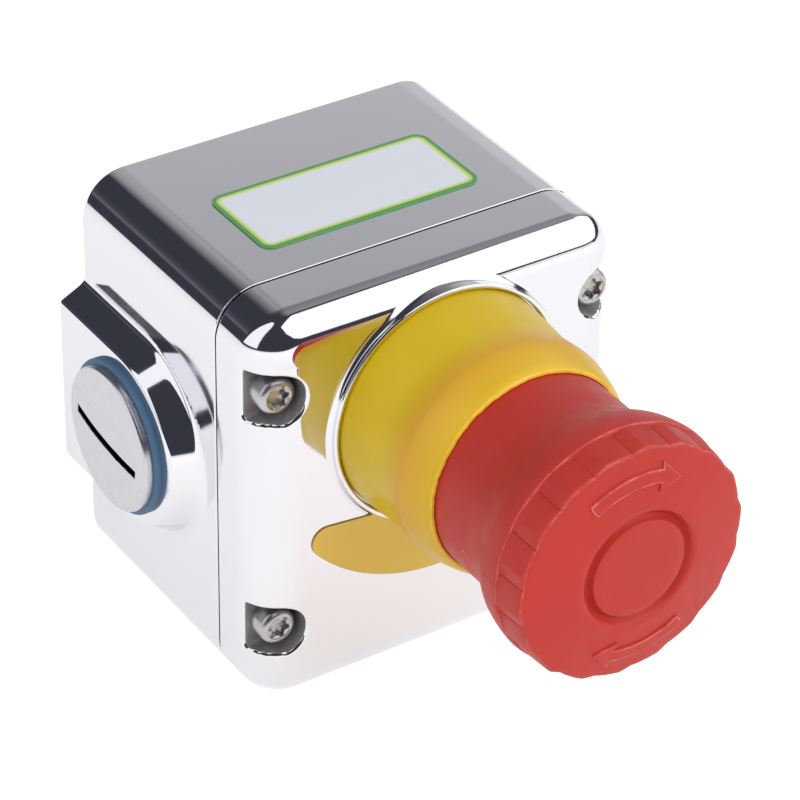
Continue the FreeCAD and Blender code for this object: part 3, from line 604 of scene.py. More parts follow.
class STOPBUTTON_OT_box_body(bpy.types.Operator):
    """Cast body with its filleted cable entry boss, rear fixings and hollow inside"""
    bl_idname = "stop_button.box_body"
    bl_label = "Box body"

    def execute(self, context):
        s = sizes_mm(context)
        colours = context.scene.stop_button_colours
        proud = -HALF_WIDTH - BOSS_FACE
        draft = math.cos(math.atan2(s["boss_flare"], proud))

        def boss(x, y, z):
            half = s["boss_half_height"]
            ahead = np.minimum(y - ENTRY_Y, 0) / s["boss_nose"]
            outline = (np.hypot(ahead, z / half) - 1) * half
            side = (outline - s["boss_flare"] * (x - BOSS_FACE) / proud) * draft
            front = round_common(side, BOSS_FACE - x, s["boss_edge"])
            return np.maximum(front, x + HALF_WIDTH - s["wall"] / 2)

        def distance(x, y, z):
            solid = rounded_rectangle(x, z, HALF_WIDTH, HALF_HEIGHT, s["edge_round"])
            solid = round_joined(solid, boss(x, y, z), s["boss_fillet"])
            solid = round_common(solid, y, s["rear_round"])
            solid = round_common(solid, RIM - y, s["seam_round"])
            inner = rounded_rectangle(x, z, HALF_WIDTH - s["wall"], HALF_HEIGHT - s["wall"],
                                      s["edge_round"] - s["wall"])
            cavity = np.maximum(inner, y + s["wall"])
            for row in SCREW_ROWS:
                cavity = np.maximum(cavity, -post(x, z, row, PILLAR_HALF))
            pads = np.maximum(np.maximum(np.abs(np.abs(x) - FIXING_X), np.abs(np.abs(z) - FIXING_Z))
                              - FIXING_PAD_HALF, -FIXING_PAD_END - y)
            earth = np.maximum(np.maximum(np.abs(x), np.abs(z - EARTH_Z)) - EARTH_HALF, -EARTH_END - y)
            cavity = np.maximum(cavity, -np.minimum(pads, earth))
            solid = np.maximum(solid, -cavity)
            fixing = np.maximum(np.hypot(np.abs(x) - FIXING_X, np.abs(z) - FIXING_Z) - FIXING_RADIUS,
                                -FIXING_DEPTH - y)
            solid = round_common(solid, -fixing, FIXING_ROUND)
            entry = np.maximum(np.hypot(y - ENTRY_Y, z) - ENTRY_RADIUS, x)
            return np.maximum(solid, -entry)

        def outside(x, y, z):
            return outer_half(x, z, s["wall"]) | (y > -s["wall"] / 2)

        # The grid is fine where the form turns and coarse along the plain walls
        top = HALF_HEIGHT + GRID_MARGIN
        behind_edge = BOSS_FACE + 1.2
        xs = grid_lines((BOSS_FACE - GRID_MARGIN, behind_edge, 0.22), (behind_edge, -27.0, 0.55),
                        (-27.0, -17.0, 0.7), (-17.0, 17.0, 2.0), (17.0, 27.0, 0.7),
                        (27.0, HALF_WIDTH + GRID_MARGIN, 0.6))
        ys = grid_lines((RIM - 0.5, RIM + 1.0, 0.2), (RIM + 1.0, -36.0, 0.55), (-36.0, -1.8, 1.0),
                        (-1.8, 0.5, 0.25))
        zs = grid_lines((-top, -13.0, 0.75), (-13.0, 13.0, 0.9), (13.0, top, 0.75))
        points, faces, normals = refined(distance, *skin(distance, xs, ys, zs), outside)
        steel = polished_steel("buffed_cast_steel", colours.steel, (0.045, 0.08))
        piece("cast_body", points, faces, [steel], "box", ["enclosure_body"], normals)
        return {"FINISHED"}


class STOPBUTTON_OT_front_cover(bpy.types.Operator):
    """Cast cover with round edges and screw pockets, and the collar round the shroud"""
    bl_idname = "stop_button.front_cover"
    bl_label = "Front cover"

    def execute(self, context):
        s = sizes_mm(context)
        colours = context.scene.stop_button_colours
        edge = s["edge_round"]

        def pocket(x, y, z, row):
            across = np.abs(x)
            side = np.hypot(np.maximum(SCREW_X + s["pocket_shift"] - across, 0), z - row) - s["pocket_radius"]
            low = np.clip((row - RIPPLE_START - z) / RIPPLE_RUN, 0, 1)
            side = side + low * (RIPPLE_LONG * np.sin(1.7 * across + row)
                                 + RIPPLE_SHORT * np.sin(2.9 * y + 2.3 * across))
            return round_common(side, y - POCKET_FLOOR, POCKET_FLOOR_ROUND)

        def distance(x, y, z):
            u = np.maximum(np.abs(x) - HALF_WIDTH + edge, 0)
            v = np.maximum(z - HALF_HEIGHT + edge, 0)
            up = v / np.maximum(np.hypot(u, v), 1e-9)
            solid = rounded_rectangle(x, z, HALF_WIDTH, HALF_HEIGHT, edge)
            solid = round_common(solid, FACE - y, edge + (s["top_round"] - edge) * up)
            solid = round_common(solid, y - SEAM, s["seam_round"])
            inner = rounded_rectangle(x, z, HALF_WIDTH - s["wall"], HALF_HEIGHT - s["wall"], edge - s["wall"])
            cavity = np.maximum(inner, FACE + s["cover_wall"] - y)
            for row in SCREW_ROWS:
                cavity = np.maximum(cavity, -post(x, z, row, POCKET_POST_HALF))
            solid = np.maximum(solid, -cavity)
            for row in SCREW_ROWS:
                solid = round_common(solid, -pocket(x, y, z, row), s["pocket_lip"])
                solid = np.maximum(solid, SCREW_HOLE_RADIUS - np.hypot(np.abs(x) - SCREW_X, z - row))
            return np.maximum(solid, BARREL_HOLE_RADIUS - np.hypot(x, z - AXIS_Z))

        def outside(x, y, z):
            return outer_half(x, z, s["wall"]) | (y < FACE + s["wall"] / 2)

        # The grid is fine at the round edges and the pockets and coarse between them
        outer = HALF_WIDTH + GRID_MARGIN
        top = HALF_HEIGHT + GRID_MARGIN
        upper, lower = SCREW_ROWS
        reach = POCKET_POST_HALF
        xs = grid_lines((-outer, -25.0, 0.42), (-25.0, 25.0, 1.6), (25.0, outer, 0.42))
        ys = grid_lines((FACE - 0.5, FACE + 1.2, 0.3), (FACE + 1.2, SEAM - 1.0, 0.42),
                        (SEAM - 1.0, SEAM + 0.5, 0.18))
        zs = grid_lines((-top, lower - reach, 0.5), (lower - reach, lower + reach, 0.42),
                        (lower + reach, upper - reach, 1.6), (upper - reach, upper + reach, 0.42),
                        (upper + reach, top, 0.5))
        points, faces, normals = refined(distance, *skin(distance, xs, ys, zs), outside)
        middle = points[faces].mean(1)
        depth = np.minimum(*(pocket(*middle.T, row) for row in SCREW_ROWS))
        in_pocket = (depth < 0.05) & (middle[:, 1] < POCKET_FLOOR + 0.3)
        steel = bpy.data.materials["buffed_cast_steel"]
        piece("cast_cover", points, faces, [steel, raw_casting(colours.casting)], "box",
              ["front_cover"], normals, which=in_pocket)
        points, faces = lathe(collar_profile(s), 192)
        keep_under_cover(points, s["top_round"], s["collar_fillet"])
        bead = polished_steel("lathe_polished_steel", colours.steel, (0.06, 0.13))
        piece("cover_collar", along_y(points), faces, [bead], "box")
        return {"FINISHED"}


def collar_profile(s):
    """Outline (radius, height over the cover) of the collar: its round edge, its fillet and its foot."""
    inner = SHROUD_HIGH[0] + COLLAR_GAP
    outer = inner + s["collar_wall"]
    height = FACE - COVER_LOW[1]
    r = s["collar_round"]
    fillet = s["collar_fillet"]
    bend = [(math.sin(a), math.cos(a)) for a in np.linspace(0, math.pi / 2, 7)]
    profile = [(inner, -COLLAR_DEPTH), (inner, height - r)]
    profile += [(inner + r - r * c, height - r + r * q) for q, c in bend]
    profile += [(outer - r + r * q, height - r + r * c) for q, c in bend]
    profile += [(outer + fillet - fillet * c, fillet - fillet * q) for q, c in bend]
    return profile + [(outer + fillet, -0.2), (outer, -0.6), (outer, -COLLAR_DEPTH)]


def keep_under_cover(points, edge, fillet):
    """Draws the collar's fillet back onto the cover where the cover's edge rounds away below it."""
    over = np.maximum(np.abs(points[:, 1] + AXIS_Z) - HALF_HEIGHT + edge, 0)
    drop = edge - np.sqrt(np.maximum(edge ** 2 - over ** 2, 0))
    low = points[:, 2] < fillet + 0.05
    outer = np.hypot(points[:, 0], points[:, 1]) > SHROUD_HIGH[0] + 0.5
    points[low & outer, 2] -= drop[low & outer]


# Turned pieces and screws

RECESS_OUTER, RECESS_INNER, RECESS_DEPTH = 2.2, 1.55, 1.4
SCREW_TURN = 37.0


def six_lobe(angle, outer, inner):
    """Radius of a six-lobe recess at an angle."""
    return (outer + inner) / 2 + (outer - inner) / 2 * np.cos(6 * angle)


def cap_screw(length, segments=72):
    """Points and faces of a cap screw along the third axis, its head's top at 0."""
    turn = circle(segments)
    lobes = six_lobe(turn, RECESS_OUTER, RECESS_INNER)
    bend = [(math.cos(a), math.sin(a)) for a in np.linspace(0, math.radians(80.0), 8)]
    rows = [(SCREW_SHANK_RADIUS, -length), (SCREW_SHANK_RADIUS, -SCREW_HEAD_HEIGHT),
            (SCREW_HEAD_RADIUS, -SCREW_HEAD_HEIGHT)]
    rows += [(SCREW_HEAD_RADIUS - SCREW_HEAD_ROUND * (1 - c), SCREW_HEAD_ROUND * (q - 1)) for c, q in bend]
    rows += [(2.44, 0.0), (2.36, -0.03), (2.28, -0.16), (lobes, -0.26), (lobes, -1.3),
             (lobes * 0.85, -RECESS_DEPTH), (0.5, -RECESS_DEPTH)]
    points = [np.stack([r * np.cos(turn), r * np.sin(turn), np.full(segments, h)], 1) for r, h in rows]
    points = np.concatenate(points + [[(0, 0, -length)], [(0, 0, -RECESS_DEPTH)]])
    faces = bands(len(rows), segments)
    last = (len(rows) - 1) * segments
    for k in range(segments):
        nxt = (k + 1) % segments
        faces += [[nxt, k, len(points) - 2], [last + k, last + nxt, len(points) - 1]]
    return points, faces


def pattern_start(name, sizes):
    """A Geometry Nodes tree that takes a shape, named sizes and a finish: the tree, its inputs and the number
    of the copy."""
    tree = bpy.data.node_groups.new(name, "GeometryNodeTree")
    for label, kind in {"Geometry": "Geometry", **sizes, "Finish": "Material"}.items():
        tree.interface.new_socket(label, in_out="INPUT", socket_type="NodeSocket" + kind)
    tree.interface.new_socket("Geometry", in_out="OUTPUT", socket_type="NodeSocketGeometry")
    return tree, add(tree, "NodeGroupInput").outputs, add(tree, "GeometryNodeInputIndex").outputs[0]


def pattern_end(tree, given, count, place, angle, weld=0.0):
    """Sets copies of the shape at their places, each turned about Y, as one mesh with its finish."""
    spots = add(tree, "GeometryNodePoints", {"Count": count, "Position": place}).outputs[0]
    turn = add(tree, "ShaderNodeCombineXYZ", {"Y": angle}).outputs[0]
    spin = add(tree, "FunctionNodeEulerToRotation", {"Euler": turn}).outputs[0]
    made = add(tree, "GeometryNodeInstanceOnPoints", {"Points": spots, "Instance": given["Geometry"],
                                                      "Rotation": spin}).outputs[0]
    made = add(tree, "GeometryNodeRealizeInstances", {"Geometry": made}).outputs[0]
    if weld:
        made = add(tree, "GeometryNodeMergeByDistance", {"Geometry": made, "Distance": weld}).outputs[0]
    made = add(tree, "GeometryNodeSetMaterial", {"Geometry": made, "Material": given["Finish"]}).outputs[0]
    add(tree, "NodeGroupOutput", {"Geometry": made})
    return tree


def screw_pattern():
    """Geometry Nodes tree that sets one screw at four places, each turned its own way."""
    tree, given, index = pattern_start("screw_pattern", {
        "Half width": "Float", "Upper row": "Float", "Lower row": "Float", "Turn": "Float"})
    upper, lower = given["Upper row"], given["Lower row"]
    odd = add(tree, "ShaderNodeMath", {0: index, 1: 2.0}, operation="MODULO").outputs[0]
    right = add(tree, "ShaderNodeMath", {0: odd, 1: 2.0, 2: -1.0}, operation="MULTIPLY_ADD").outputs[0]
    x = add(tree, "ShaderNodeMath", {0: right, 1: given["Half width"]}, operation="MULTIPLY").outputs[0]
    below = add(tree, "ShaderNodeMath", {0: index, 1: 1.5}, operation="GREATER_THAN").outputs[0]
    drop = add(tree, "ShaderNodeMath", {0: lower, 1: upper}, operation="SUBTRACT").outputs[0]
    z = add(tree, "ShaderNodeMath", {0: below, 1: drop, 2: upper}, operation="MULTIPLY_ADD").outputs[0]
    place = add(tree, "ShaderNodeCombineXYZ", {"X": x, "Z": z}).outputs[0]
    angle = add(tree, "ShaderNodeMath", {0: index, 1: given["Turn"]}, operation="MULTIPLY").outputs[0]
    return pattern_end(tree, given, 4, place, angle)


def through_nodes(name, points, faces, tree, values, wear_and_highlight=None):
    """Runs a mesh through a Geometry Nodes tree and gives a plain mesh object, not yet linked."""
    work = bpy.data.objects.new(name + "_unit", new_mesh(name + "_unit", points, faces, wear_and_highlight))
    bpy.context.scene.collection.objects.link(work)
    modifier = work.modifiers.new("pattern", "NODES")
    modifier.node_group = tree
    keys = {item.name: item.identifier for item in tree.interface.items_tree if item.in_out == "INPUT"}
    for socket, value in values.items():
        modifier[keys[socket]] = value
    evaluated = work.evaluated_get(bpy.context.evaluated_depsgraph_get())
    result = bpy.data.meshes.new_from_object(evaluated)
    result.name = name
    work.modifiers.remove(modifier)
    bpy.data.objects.remove(work)
    return bpy.data.objects.new(name, result)


class STOPBUTTON_OT_cover_screws(bpy.types.Operator):
    """Four cap screws with six-lobe recesses"""
    bl_idname = "stop_button.cover_screws"
    bl_label = "Cover screws"

    def execute(self, context):
        colours = context.scene.stop_button_colours
        points, faces = cap_screw(SCREW_HIGH[1] - SCREW_LOW[1])
        points = np.stack([points[:, 0], SCREW_LOW[1] - points[:, 2], points[:, 1]], 1)
        made = through_nodes("cap_screws", points, faces, screw_pattern(), {
            "Half width": SCREW_X * MM, "Upper row": SCREW_ROWS[0] * MM, "Lower row": SCREW_ROWS[1] * MM,
            "Turn": math.radians(SCREW_TURN), "Finish": screw_steel(colours.screw)})
        finish_mesh(made.data)
        settle(made, "box", ["cover_screws"])
        return {"FINISHED"}


# Entry plug: its domed face, its edge and shank, and its slot
PLUG_DOME, PLUG_EDGE, PLUG_SHANK_GAP, PLUG_SHANK_END = 1.0, 0.45, 0.05, 9.2
SLOT_HALF_WIDTH, SLOT_HALF_LENGTH, SLOT_DEPTH, SLOT_ROUND, SLOT_TURN = 0.8, 10.3, 1.4, 0.16, 8.0
# Painted shade in the plug's slot, where its floor lies in shadow
SLOT_SHADE = "#2b2927"


class STOPBUTTON_OT_entry_plug(bpy.types.Operator):
    """Slotted plug and its sealing washer in the cable entry"""
    bl_idname = "stop_button.entry_plug"
    bl_label = "Entry plug"

    def execute(self, context):
        colours = context.scene.stop_button_colours
        radius = (PLUG_HIGH[1] - PLUG_LOW[1]) / 2
        washer = SEAL_HIGH[0] - SEAL_LOW[0]
        crown = BOSS_FACE - PLUG_LOW[0]
        ball = (radius ** 2 + PLUG_DOME ** 2) / (2 * PLUG_DOME)

        def distance(u, v, h):
            rho = np.hypot(u, v)
            head = np.maximum(rho - radius, washer - h)
            dome = np.sqrt(rho ** 2 + (h - crown + ball) ** 2) - ball
            head = round_common(head, dome, PLUG_EDGE)
            shank = np.maximum(rho - ENTRY_RADIUS + PLUG_SHANK_GAP,
                               np.maximum(h - washer - 0.5, -PLUG_SHANK_END - h))
            slot = np.maximum(np.maximum(np.abs(v) - SLOT_HALF_WIDTH, np.abs(u) - SLOT_HALF_LENGTH),
                              crown - SLOT_DEPTH - h)
            return round_common(np.minimum(head, shank), -slot, SLOT_ROUND)

        rim = radius + GRID_MARGIN
        us = grid_lines((-rim, -9.0, 0.35), (-9.0, 9.0, 0.9), (9.0, rim, 0.35))
        vs = grid_lines((-rim, -8.0, 0.35), (-8.0, -1.6, 0.8), (-1.6, 1.6, 0.16), (1.6, 8.0, 0.8),
                        (8.0, rim, 0.35))
        hs = grid_lines((-9.8, washer - 0.4, 1.2), (washer - 0.4, crown + 0.3, 0.14))
        points, quads, normals = skin(distance, us, vs, hs)
        u, v, h = points[quads].mean(1).T
        # Faces in the slot take the dark painted shade that stands for the shadow on its floor
        in_slot = (np.abs(v) < SLOT_HALF_WIDTH + 0.1) & (np.abs(u) < SLOT_HALF_LENGTH + 0.1)
        in_slot &= (h > crown - SLOT_DEPTH - 0.1) & (h < crown - 0.12 - u ** 2 / (2 * ball))
        turned = np.array(Matrix.Rotation(math.radians(SLOT_TURN), 3, "Z")).T
        y, z, out = (normals @ turned).T
        piece("slotted_plug", along_x(points @ turned), quads[:, ::-1] if flips(along_x) else quads,
              [plated_brass(colours.plug), drawn_metal("painted_slot_shade", linear(SLOT_SHADE), 0.5)],
              "box", ["entry_plug"], np.stack([-out, y, z], 1), which=in_slot)
        outer = (SEAL_HIGH[1] - SEAL_LOW[1]) / 2
        profile = [(ENTRY_RADIUS, 0.0), (outer, 0.0), (outer, washer - 0.35), (outer - 0.1, washer - 0.1),
                   (outer - 0.35, washer), (ENTRY_RADIUS, washer)]
        points, faces = lathe(profile, 144)
        rubber = soft_rubber("moulded_blue_rubber", colours.seal)
        piece("sealing_washer", along_x(points), faces, [rubber], "box", ["entry_seal"],
              sharp=50.0)
        return {"FINISHED"}


def flips(turn):
    """Whether a turn of the axes mirrors shapes."""
    moved = turn(np.concatenate([np.zeros((1, 3)), np.eye(3)]))
    return np.linalg.det(moved[1:] - moved[0]) < 0


# Guard sleeve: outline (radius, height over the cover) between its foot and its mouth, bore, lip and floor
SLEEVE = [(21.9, 5.0), (21.5, 10.0), (21.38, 12.2), (21.44, 13.9), (21.6, 15.6), (21.78, 17.6), (21.85, 19.2),
          (21.6, 21.0), (21.15, 22.9), (20.65, 24.7)]
SLEEVE_BORE, SLEEVE_LIP, SLEEVE_FLOOR = 19.55, 19.32, 2.5
# Where the rim's painted reflection of the red head starts, is full and has faded, as heights over the cover,
# and what stays of it
RIM_START, RIM_FULL, RIM_END, RIM_STAYS = 13.0, 18.5, 25.0, 0.35
# Paler yellow of the mouth's edge: trimmed edge partly rubbed and partly a painted highlight
RUBBED_AND_HIGHLIT_YELLOW = "#ffd746"
# Waves of the trimmed edge at the sleeve's mouth: height, number all round, phase
FLASH = ((0.4, 9, 0.4), (0.35, 31, 1.9), (0.35, 67, 0.0))
# How deep the trim cuts for one unit of the waves, and the level they swing about
FLASH_DEPTH, FLASH_MEAN = 0.14, 1.1


class STOPBUTTON_OT_guard_shroud(bpy.types.Operator):
    """Yellow guard sleeve with a waist, a soft rim and a thin moulding edge at its mouth"""
    bl_idname = "stop_button.guard_shroud"
    bl_label = "Guard shroud"

    def execute(self, context):
        colours = context.scene.stop_button_colours
        mouth = FACE - SHROUD_LOW[1]
        bore, lip = SLEEVE_BORE, SLEEVE_LIP
        ends = [(20.2, mouth - 0.5), (19.95, mouth - 0.1)]
        profile = smooth_through([(SHROUD_HIGH[0], 0.0)] + SLEEVE + ends, 8)
        profile += [(19.8, mouth), (lip + 0.05, mouth), (lip, mouth - 0.1), (lip, mouth - 0.6),
                    (bore, mouth - 1.2), (bore, SLEEVE_FLOOR), (BARREL_HOLE_RADIUS, SLEEVE_FLOOR),
                    (BARREL_HOLE_RADIUS, 0.0)]
        points, faces = lathe(profile, 288)
        # Share of the lip's paler colour: rubbed trim and a painted highlight along the edge
        wear_and_highlight = np.clip((points[:, 2] - mouth + 0.45) / 0.35, 0, 1)
        ragged(points, mouth)
        # Painted reflection: the band near the mouth turns towards the rim colour, where the red head would
        # reflect
        painted_reflection = (colours.rim, FACE - RIM_START, FACE - RIM_FULL, FACE - RIM_END, RIM_STAYS)
        yellow = moulded_plastic("moulded_yellow_plastic", colours.yellow, 0.45, 0.36, 0.5, painted_reflection,
                                 (linear(RUBBED_AND_HIGHLIT_YELLOW), 0.5, 0.9))
        piece("guard_sleeve", along_y(points), faces, [yellow], "box", ["guard_shroud"],
              sharp=30.0, wear_and_highlight=wear_and_highlight)
        return {"FINISHED"}


def ragged(points, mouth):
    """Makes the thin edge at the shroud's mouth a little uneven, as trimmed flash is."""
    angle = np.arctan2(points[:, 1], points[:, 0])
    wave = sum(height * np.sin(count * angle + phase) for height, count, phase in FLASH)
    near = np.clip((points[:, 2] - mouth + 0.7) / 0.6, 0, 1)
    points[:, 2] -= FLASH_DEPTH * (FLASH_MEAN + wave) * near


# Mushroom head

TOOTH_COUNT = 18
TOOTH_PHASE = 13.0
# Highest place of a tooth in degrees, and depth of the groove at its root as a share of its height
TOOTH_CREST, TOOTH_ROOT = 13.4, -0.26
# The head's face outside its ring groove: radii where its slope begins and ends, step down, drop and bend
SLOPE_INNER, SLOPE_OUTER, SLOPE_STEP, SLOPE_DROP, SLOPE_BEND = 10.9, 21.4, 0.04, 1.72, 1.25
# Middle of the face and ring groove: radius, depth below the top
RING_GROOVE = ((0.0, 0.0), (4.0, 0.01), (7.5, 0.04), (8.9, 0.08), (9.15, 0.2), (9.32, 0.65), (9.6, 1.2),
               (9.95, 1.4), (10.3, 1.2), (10.65, 0.7), (10.95, 0.25))
# Upper and lower edge of the grip: radius, height over the cover, share of the tooth
GRIP_TOP = [(21.6, 55.62, 0.55), (21.85, 55.4, 0.8), (22.0, 55.1, 0.95), (22.05, 54.7, 1.0)]
GRIP_FOOT = [(22.37, 49.5, 1.0), (22.5, 49.38, 0.75), (22.85, 49.3, 0.2), (23.0, 49.15, 0)]
GRIP_FLARE, GRIP_RUN = 0.3, 5.05
# Share of rubbed edge and painted highlight of the rows at these heights
RUBBED_AND_HIGHLIT = {55.4: 0.6, 49.3: 1.0}
# Pale pink of the head's edges and arrows: partly rubbed plastic, partly a painted highlight
RUBBED_AND_HIGHLIT_RED = "#ee9c90"
# Lip below the grip down to the skirt: radius, height over the cover
LIP = ((23.03, 48.8), (23.0, 48.0), (22.87, 47.0), (22.7, 46.0), (22.48, 45.0), (22.18, 44.0), (21.78, 43.0),
       (21.3, 42.0), (20.83, 41.0), (20.4, 40.0), (20.03, 39.0), (19.72, 38.0), (19.48, 37.0), (19.3, 36.0),
       (19.22, 35.0), (19.2, 33.5))
SKIRT_RADIUS, SKIRT_BORE, HEAD_CEILING = 19.2, 16.8, 53.0
HUB_RADIUS, HUB_BORE, HUB_END, HUB_CEILING = 9.85, 5.05, 34.5, 51.5
# Points of neighbouring sectors that lie nearer than this, in metres, are one
SECTOR_WELD = 2e-6
# Arrows: tail and tip in degrees
ARROWS = ((122.5, 63.0), (-57.6, -118.0))


def face_height(radius):
    """How far the head's face stands in front of the cover, outside its ring groove."""
    share = np.clip((radius - SLOPE_INNER) / (SLOPE_OUTER - SLOPE_INNER), 0, 1)
    return HEAD_TOP - SLOPE_STEP - SLOPE_DROP * share ** SLOPE_BEND


def head_profile():
    """Outline of the head (radius, height, share of the tooth) from the middle of its face to its bore."""
    rows = [(r, HEAD_TOP - depth, 0) for r, depth in RING_GROOVE] + [(11.3, face_height(11.3) - 0.02, 0)]
    rows += [(r, face_height(r), 0) for r in np.linspace(12.0, 20.6, 12)]
    rows += [(21.2, face_height(21.2) - 0.03, 0.25)] + GRIP_TOP
    start, height, _ = GRIP_TOP[-1]
    rows += [(start + GRIP_FLARE * t, height - GRIP_RUN * t, 1.0) for t in (0.25, 0.5, 0.75, 1.0)] + GRIP_FOOT
    end = FACE - HEAD_HIGH[1]
    inside = [(SKIRT_RADIUS, 28.0), (SKIRT_RADIUS, end + 0.4), (19.05, end + 0.1), (18.8, end),
              (SKIRT_BORE, end), (SKIRT_BORE, HEAD_CEILING), (HUB_RADIUS, HEAD_CEILING),
              (HUB_RADIUS, HUB_END), (HUB_BORE, HUB_END), (HUB_BORE, HUB_CEILING), (0.0, HUB_CEILING)]
    return rows + [(r, h, 0) for r, h in LIP] + [(r, h, 0) for r, h in inside]


def head_sector(height):
    """One tooth's sector of the whole head: a long rise, a shorter slope and a fine groove at its root."""
    pitch = 360 / TOOTH_COUNT
    crest, root = TOOTH_CREST, TOOTH_ROOT
    columns = [(0.0, root), (0.5, 0.02), (0.9, 0.07)]
    columns += [(a, 0.07 + 0.9 * (a - 0.9) / crest) for a in np.linspace(2.4, crest - 0.5, 7)]
    columns += [(crest, 0.91), (crest + 0.4, 0.9), (crest + 0.8, 0.86)]
    columns += [(a, 0.86 * (pitch - 0.5 - a) / (pitch - 1.3 - crest))
                for a in np.linspace(crest + 1.6, pitch - 1.2, 4)]
    columns += [(pitch - 0.85, 0.06), (pitch - 0.5, 0.02), (pitch, root)]
    points, wear_and_highlight = [], []
    rows = head_profile()
    for radius, out, share in rows:
        for angle, rise in columns:
            turn = math.radians(angle + TOOTH_PHASE)
            full = radius + share * height * rise
            points.append((full * math.cos(turn), full * math.sin(turn), out))
            wear_and_highlight.append(RUBBED_AND_HIGHLIT.get(out, 0.0))
    return np.array(points), bands(len(rows), len(columns), closed=False), wear_and_highlight


def sector_spin():
    """Geometry Nodes tree that repeats a sector round the button's axis and closes the joints."""
    tree, given, index = pattern_start("sector_spin", {"Count": "Int", "Axis height": "Float"})
    step = add(tree, "ShaderNodeMath", {0: 2 * math.pi, 1: given["Count"]}, operation="DIVIDE").outputs[0]
    angle = add(tree, "ShaderNodeMath", {0: index, 1: step}, operation="MULTIPLY").outputs[0]
    lift = add(tree, "ShaderNodeCombineXYZ", {"Z": given["Axis height"]}).outputs[0]
    return pattern_end(tree, given, given["Count"], lift, angle, SECTOR_WELD)


def arrow_outline(tail, tip, mean, half, barb_in, barb_out, barb_back):
    """Outline (radius, degrees) of an arrow that follows a circle from its tail to its tip."""
    way = math.copysign(1, tip - tail)
    neck = tip - way * barb_back
    run = np.linspace(tail, neck, 24)
    cap = [(mean + half * math.cos(a), tail - way * math.degrees(half * math.sin(a) / mean) * 0.3)
           for a in np.linspace(0, math.pi, 9)[1:-1]]
    outside = [(mean + half, a) for a in run]
    inside = [(mean - half, a) for a in run[::-1]]
    head = [(barb_out, neck - way * 0.6), (mean, tip), (barb_in, neck - way * 0.6)]
    return outside + head + inside + cap[::-1]


def raised_shape(outline, height, sunk=0.4, bevel=0.14, border=0.4):
    """A low solid on the head's face from an outline (radius, degrees), its upper edge rounded and marked as
    rubbed, with a painted highlight.
    """
    flat = np.array([(r * math.cos(math.radians(a)), r * math.sin(math.radians(a))) for r, a in outline])
    ahead = np.roll(flat, -1, 0)
    if (flat[:, 0] * ahead[:, 1] - flat[:, 1] * ahead[:, 0]).sum() < 0:
        flat = flat[::-1]
    # The bevel rows get a share of rubbed edge and painted highlight
    rows = ((0.0, -sunk, 0.0), (0.0, height - bevel, 0.5), (0.3 * bevel, height - 0.3 * bevel, 1.0),
            (bevel, height, 1.0), (border, height, 0.0))
    points, wear_and_highlight = [], []
    count = len(flat)
    for inset, rise, rubbed_and_highlit in rows:
        ring = shrunk(flat, inset)
        points += [(x, z, face_height(math.hypot(x, z)) + rise) for x, z in ring]
        wear_and_highlight += [rubbed_and_highlit] * count
    faces = bands(len(rows), count)
    faces += [list(range(len(points) - count, len(points))), list(range(count))[::-1]]
    return points, faces, wear_and_highlight


class STOPBUTTON_OT_mushroom_head(bpy.types.Operator):
    """Red head with its saw-toothed grip, ring groove and two raised arrows"""
    bl_idname = "stop_button.mushroom_head"
    bl_label = "Mushroom head"

    def execute(self, context):
        s = sizes_mm(context)
        # The grip's edges and the arrows' bevels are painted paler: rubbed edges and a painted highlight
        red = moulded_plastic("moulded_red_plastic", context.scene.stop_button_colours.red, 0.4, 0.46, 0.6,
                              worn_and_highlit=(linear(RUBBED_AND_HIGHLIT_RED), 0.12, 0.5))
        points, faces, wear_and_highlight = head_sector(s["tooth_height"])
        x, z, out = points.T
        made = through_nodes("grip_head", np.stack([x, FACE - out, z], 1), faces, sector_spin(), {
            "Count": TOOTH_COUNT, "Axis height": AXIS_Z * MM, "Finish": red}, wear_and_highlight)
        finish_mesh(made.data, sharp=38.0)
        settle(made, "head", ["mushroom_head"])
        points, faces, wear_and_highlight = [], [], []
        for tail, tip in ARROWS:
            outline = arrow_outline(tail, tip, mean=17.2, half=1.2, barb_in=14.5, barb_out=19.7,
                                    barb_back=13.5)
            more, sides, rubbed_and_highlit = raised_shape(outline, s["arrow_height"])
            faces += [[k + len(points) for k in side] for side in sides]
            points += more
            wear_and_highlight += rubbed_and_highlit
        piece("turn_arrows", along_y(np.array(points)), faces, [red], "head", sharp=50.0,
              wear_and_highlight=wear_and_highlight)
        return {"FINISHED"}


# Plates

# Label: its corner radius, how far each ring of its outline lies inside the edge, and its bevel
LABEL_CORNER, LABEL_INSETS, LABEL_BEVEL = 2.6, (0.0, 0.04, 0.8, 1.25, 1.7), 0.04
PALE_LINE = "#e4ecb4"
# Legend: its width, how far below the axis its ends are cut, their slope, radius of its tips, bevel
LEGEND_WIDTH, LEGEND_CUT, LEGEND_SLOPE, LEGEND_TIP, LEGEND_BEVEL = 11.2, 20.1, 5.5, 3.0, 0.05


def plate(name, outlines, base, thickness, materials, stands_for, place, bevel):
    """A thin plate from nested outlines of equal counts: its bands take the materials in turn."""
    count = len(outlines[0])
    heights = [base, base + thickness - bevel] + [base + thickness] * (len(outlines) - 1)
    rings = [np.column_stack([outline, np.full(count, height)])
             for outline, height in zip([outlines[0]] + outlines, heights)]
    points = np.concatenate(rings)
    faces = bands(len(rings), count)
    faces += [list(range(len(points) - count, len(points))), list(range(count))[::-1]]
    which = [max(0, row - 1) for row in range(len(rings) - 1) for _ in range(count)] + [len(rings) - 2, 0]
    if flips(place):
        faces = [face[::-1] for face in faces]
    return piece(name, place(points), faces, materials, "box", stands_for, sharp=20.0,
                 which=[min(w, len(materials) - 1) for w in which])


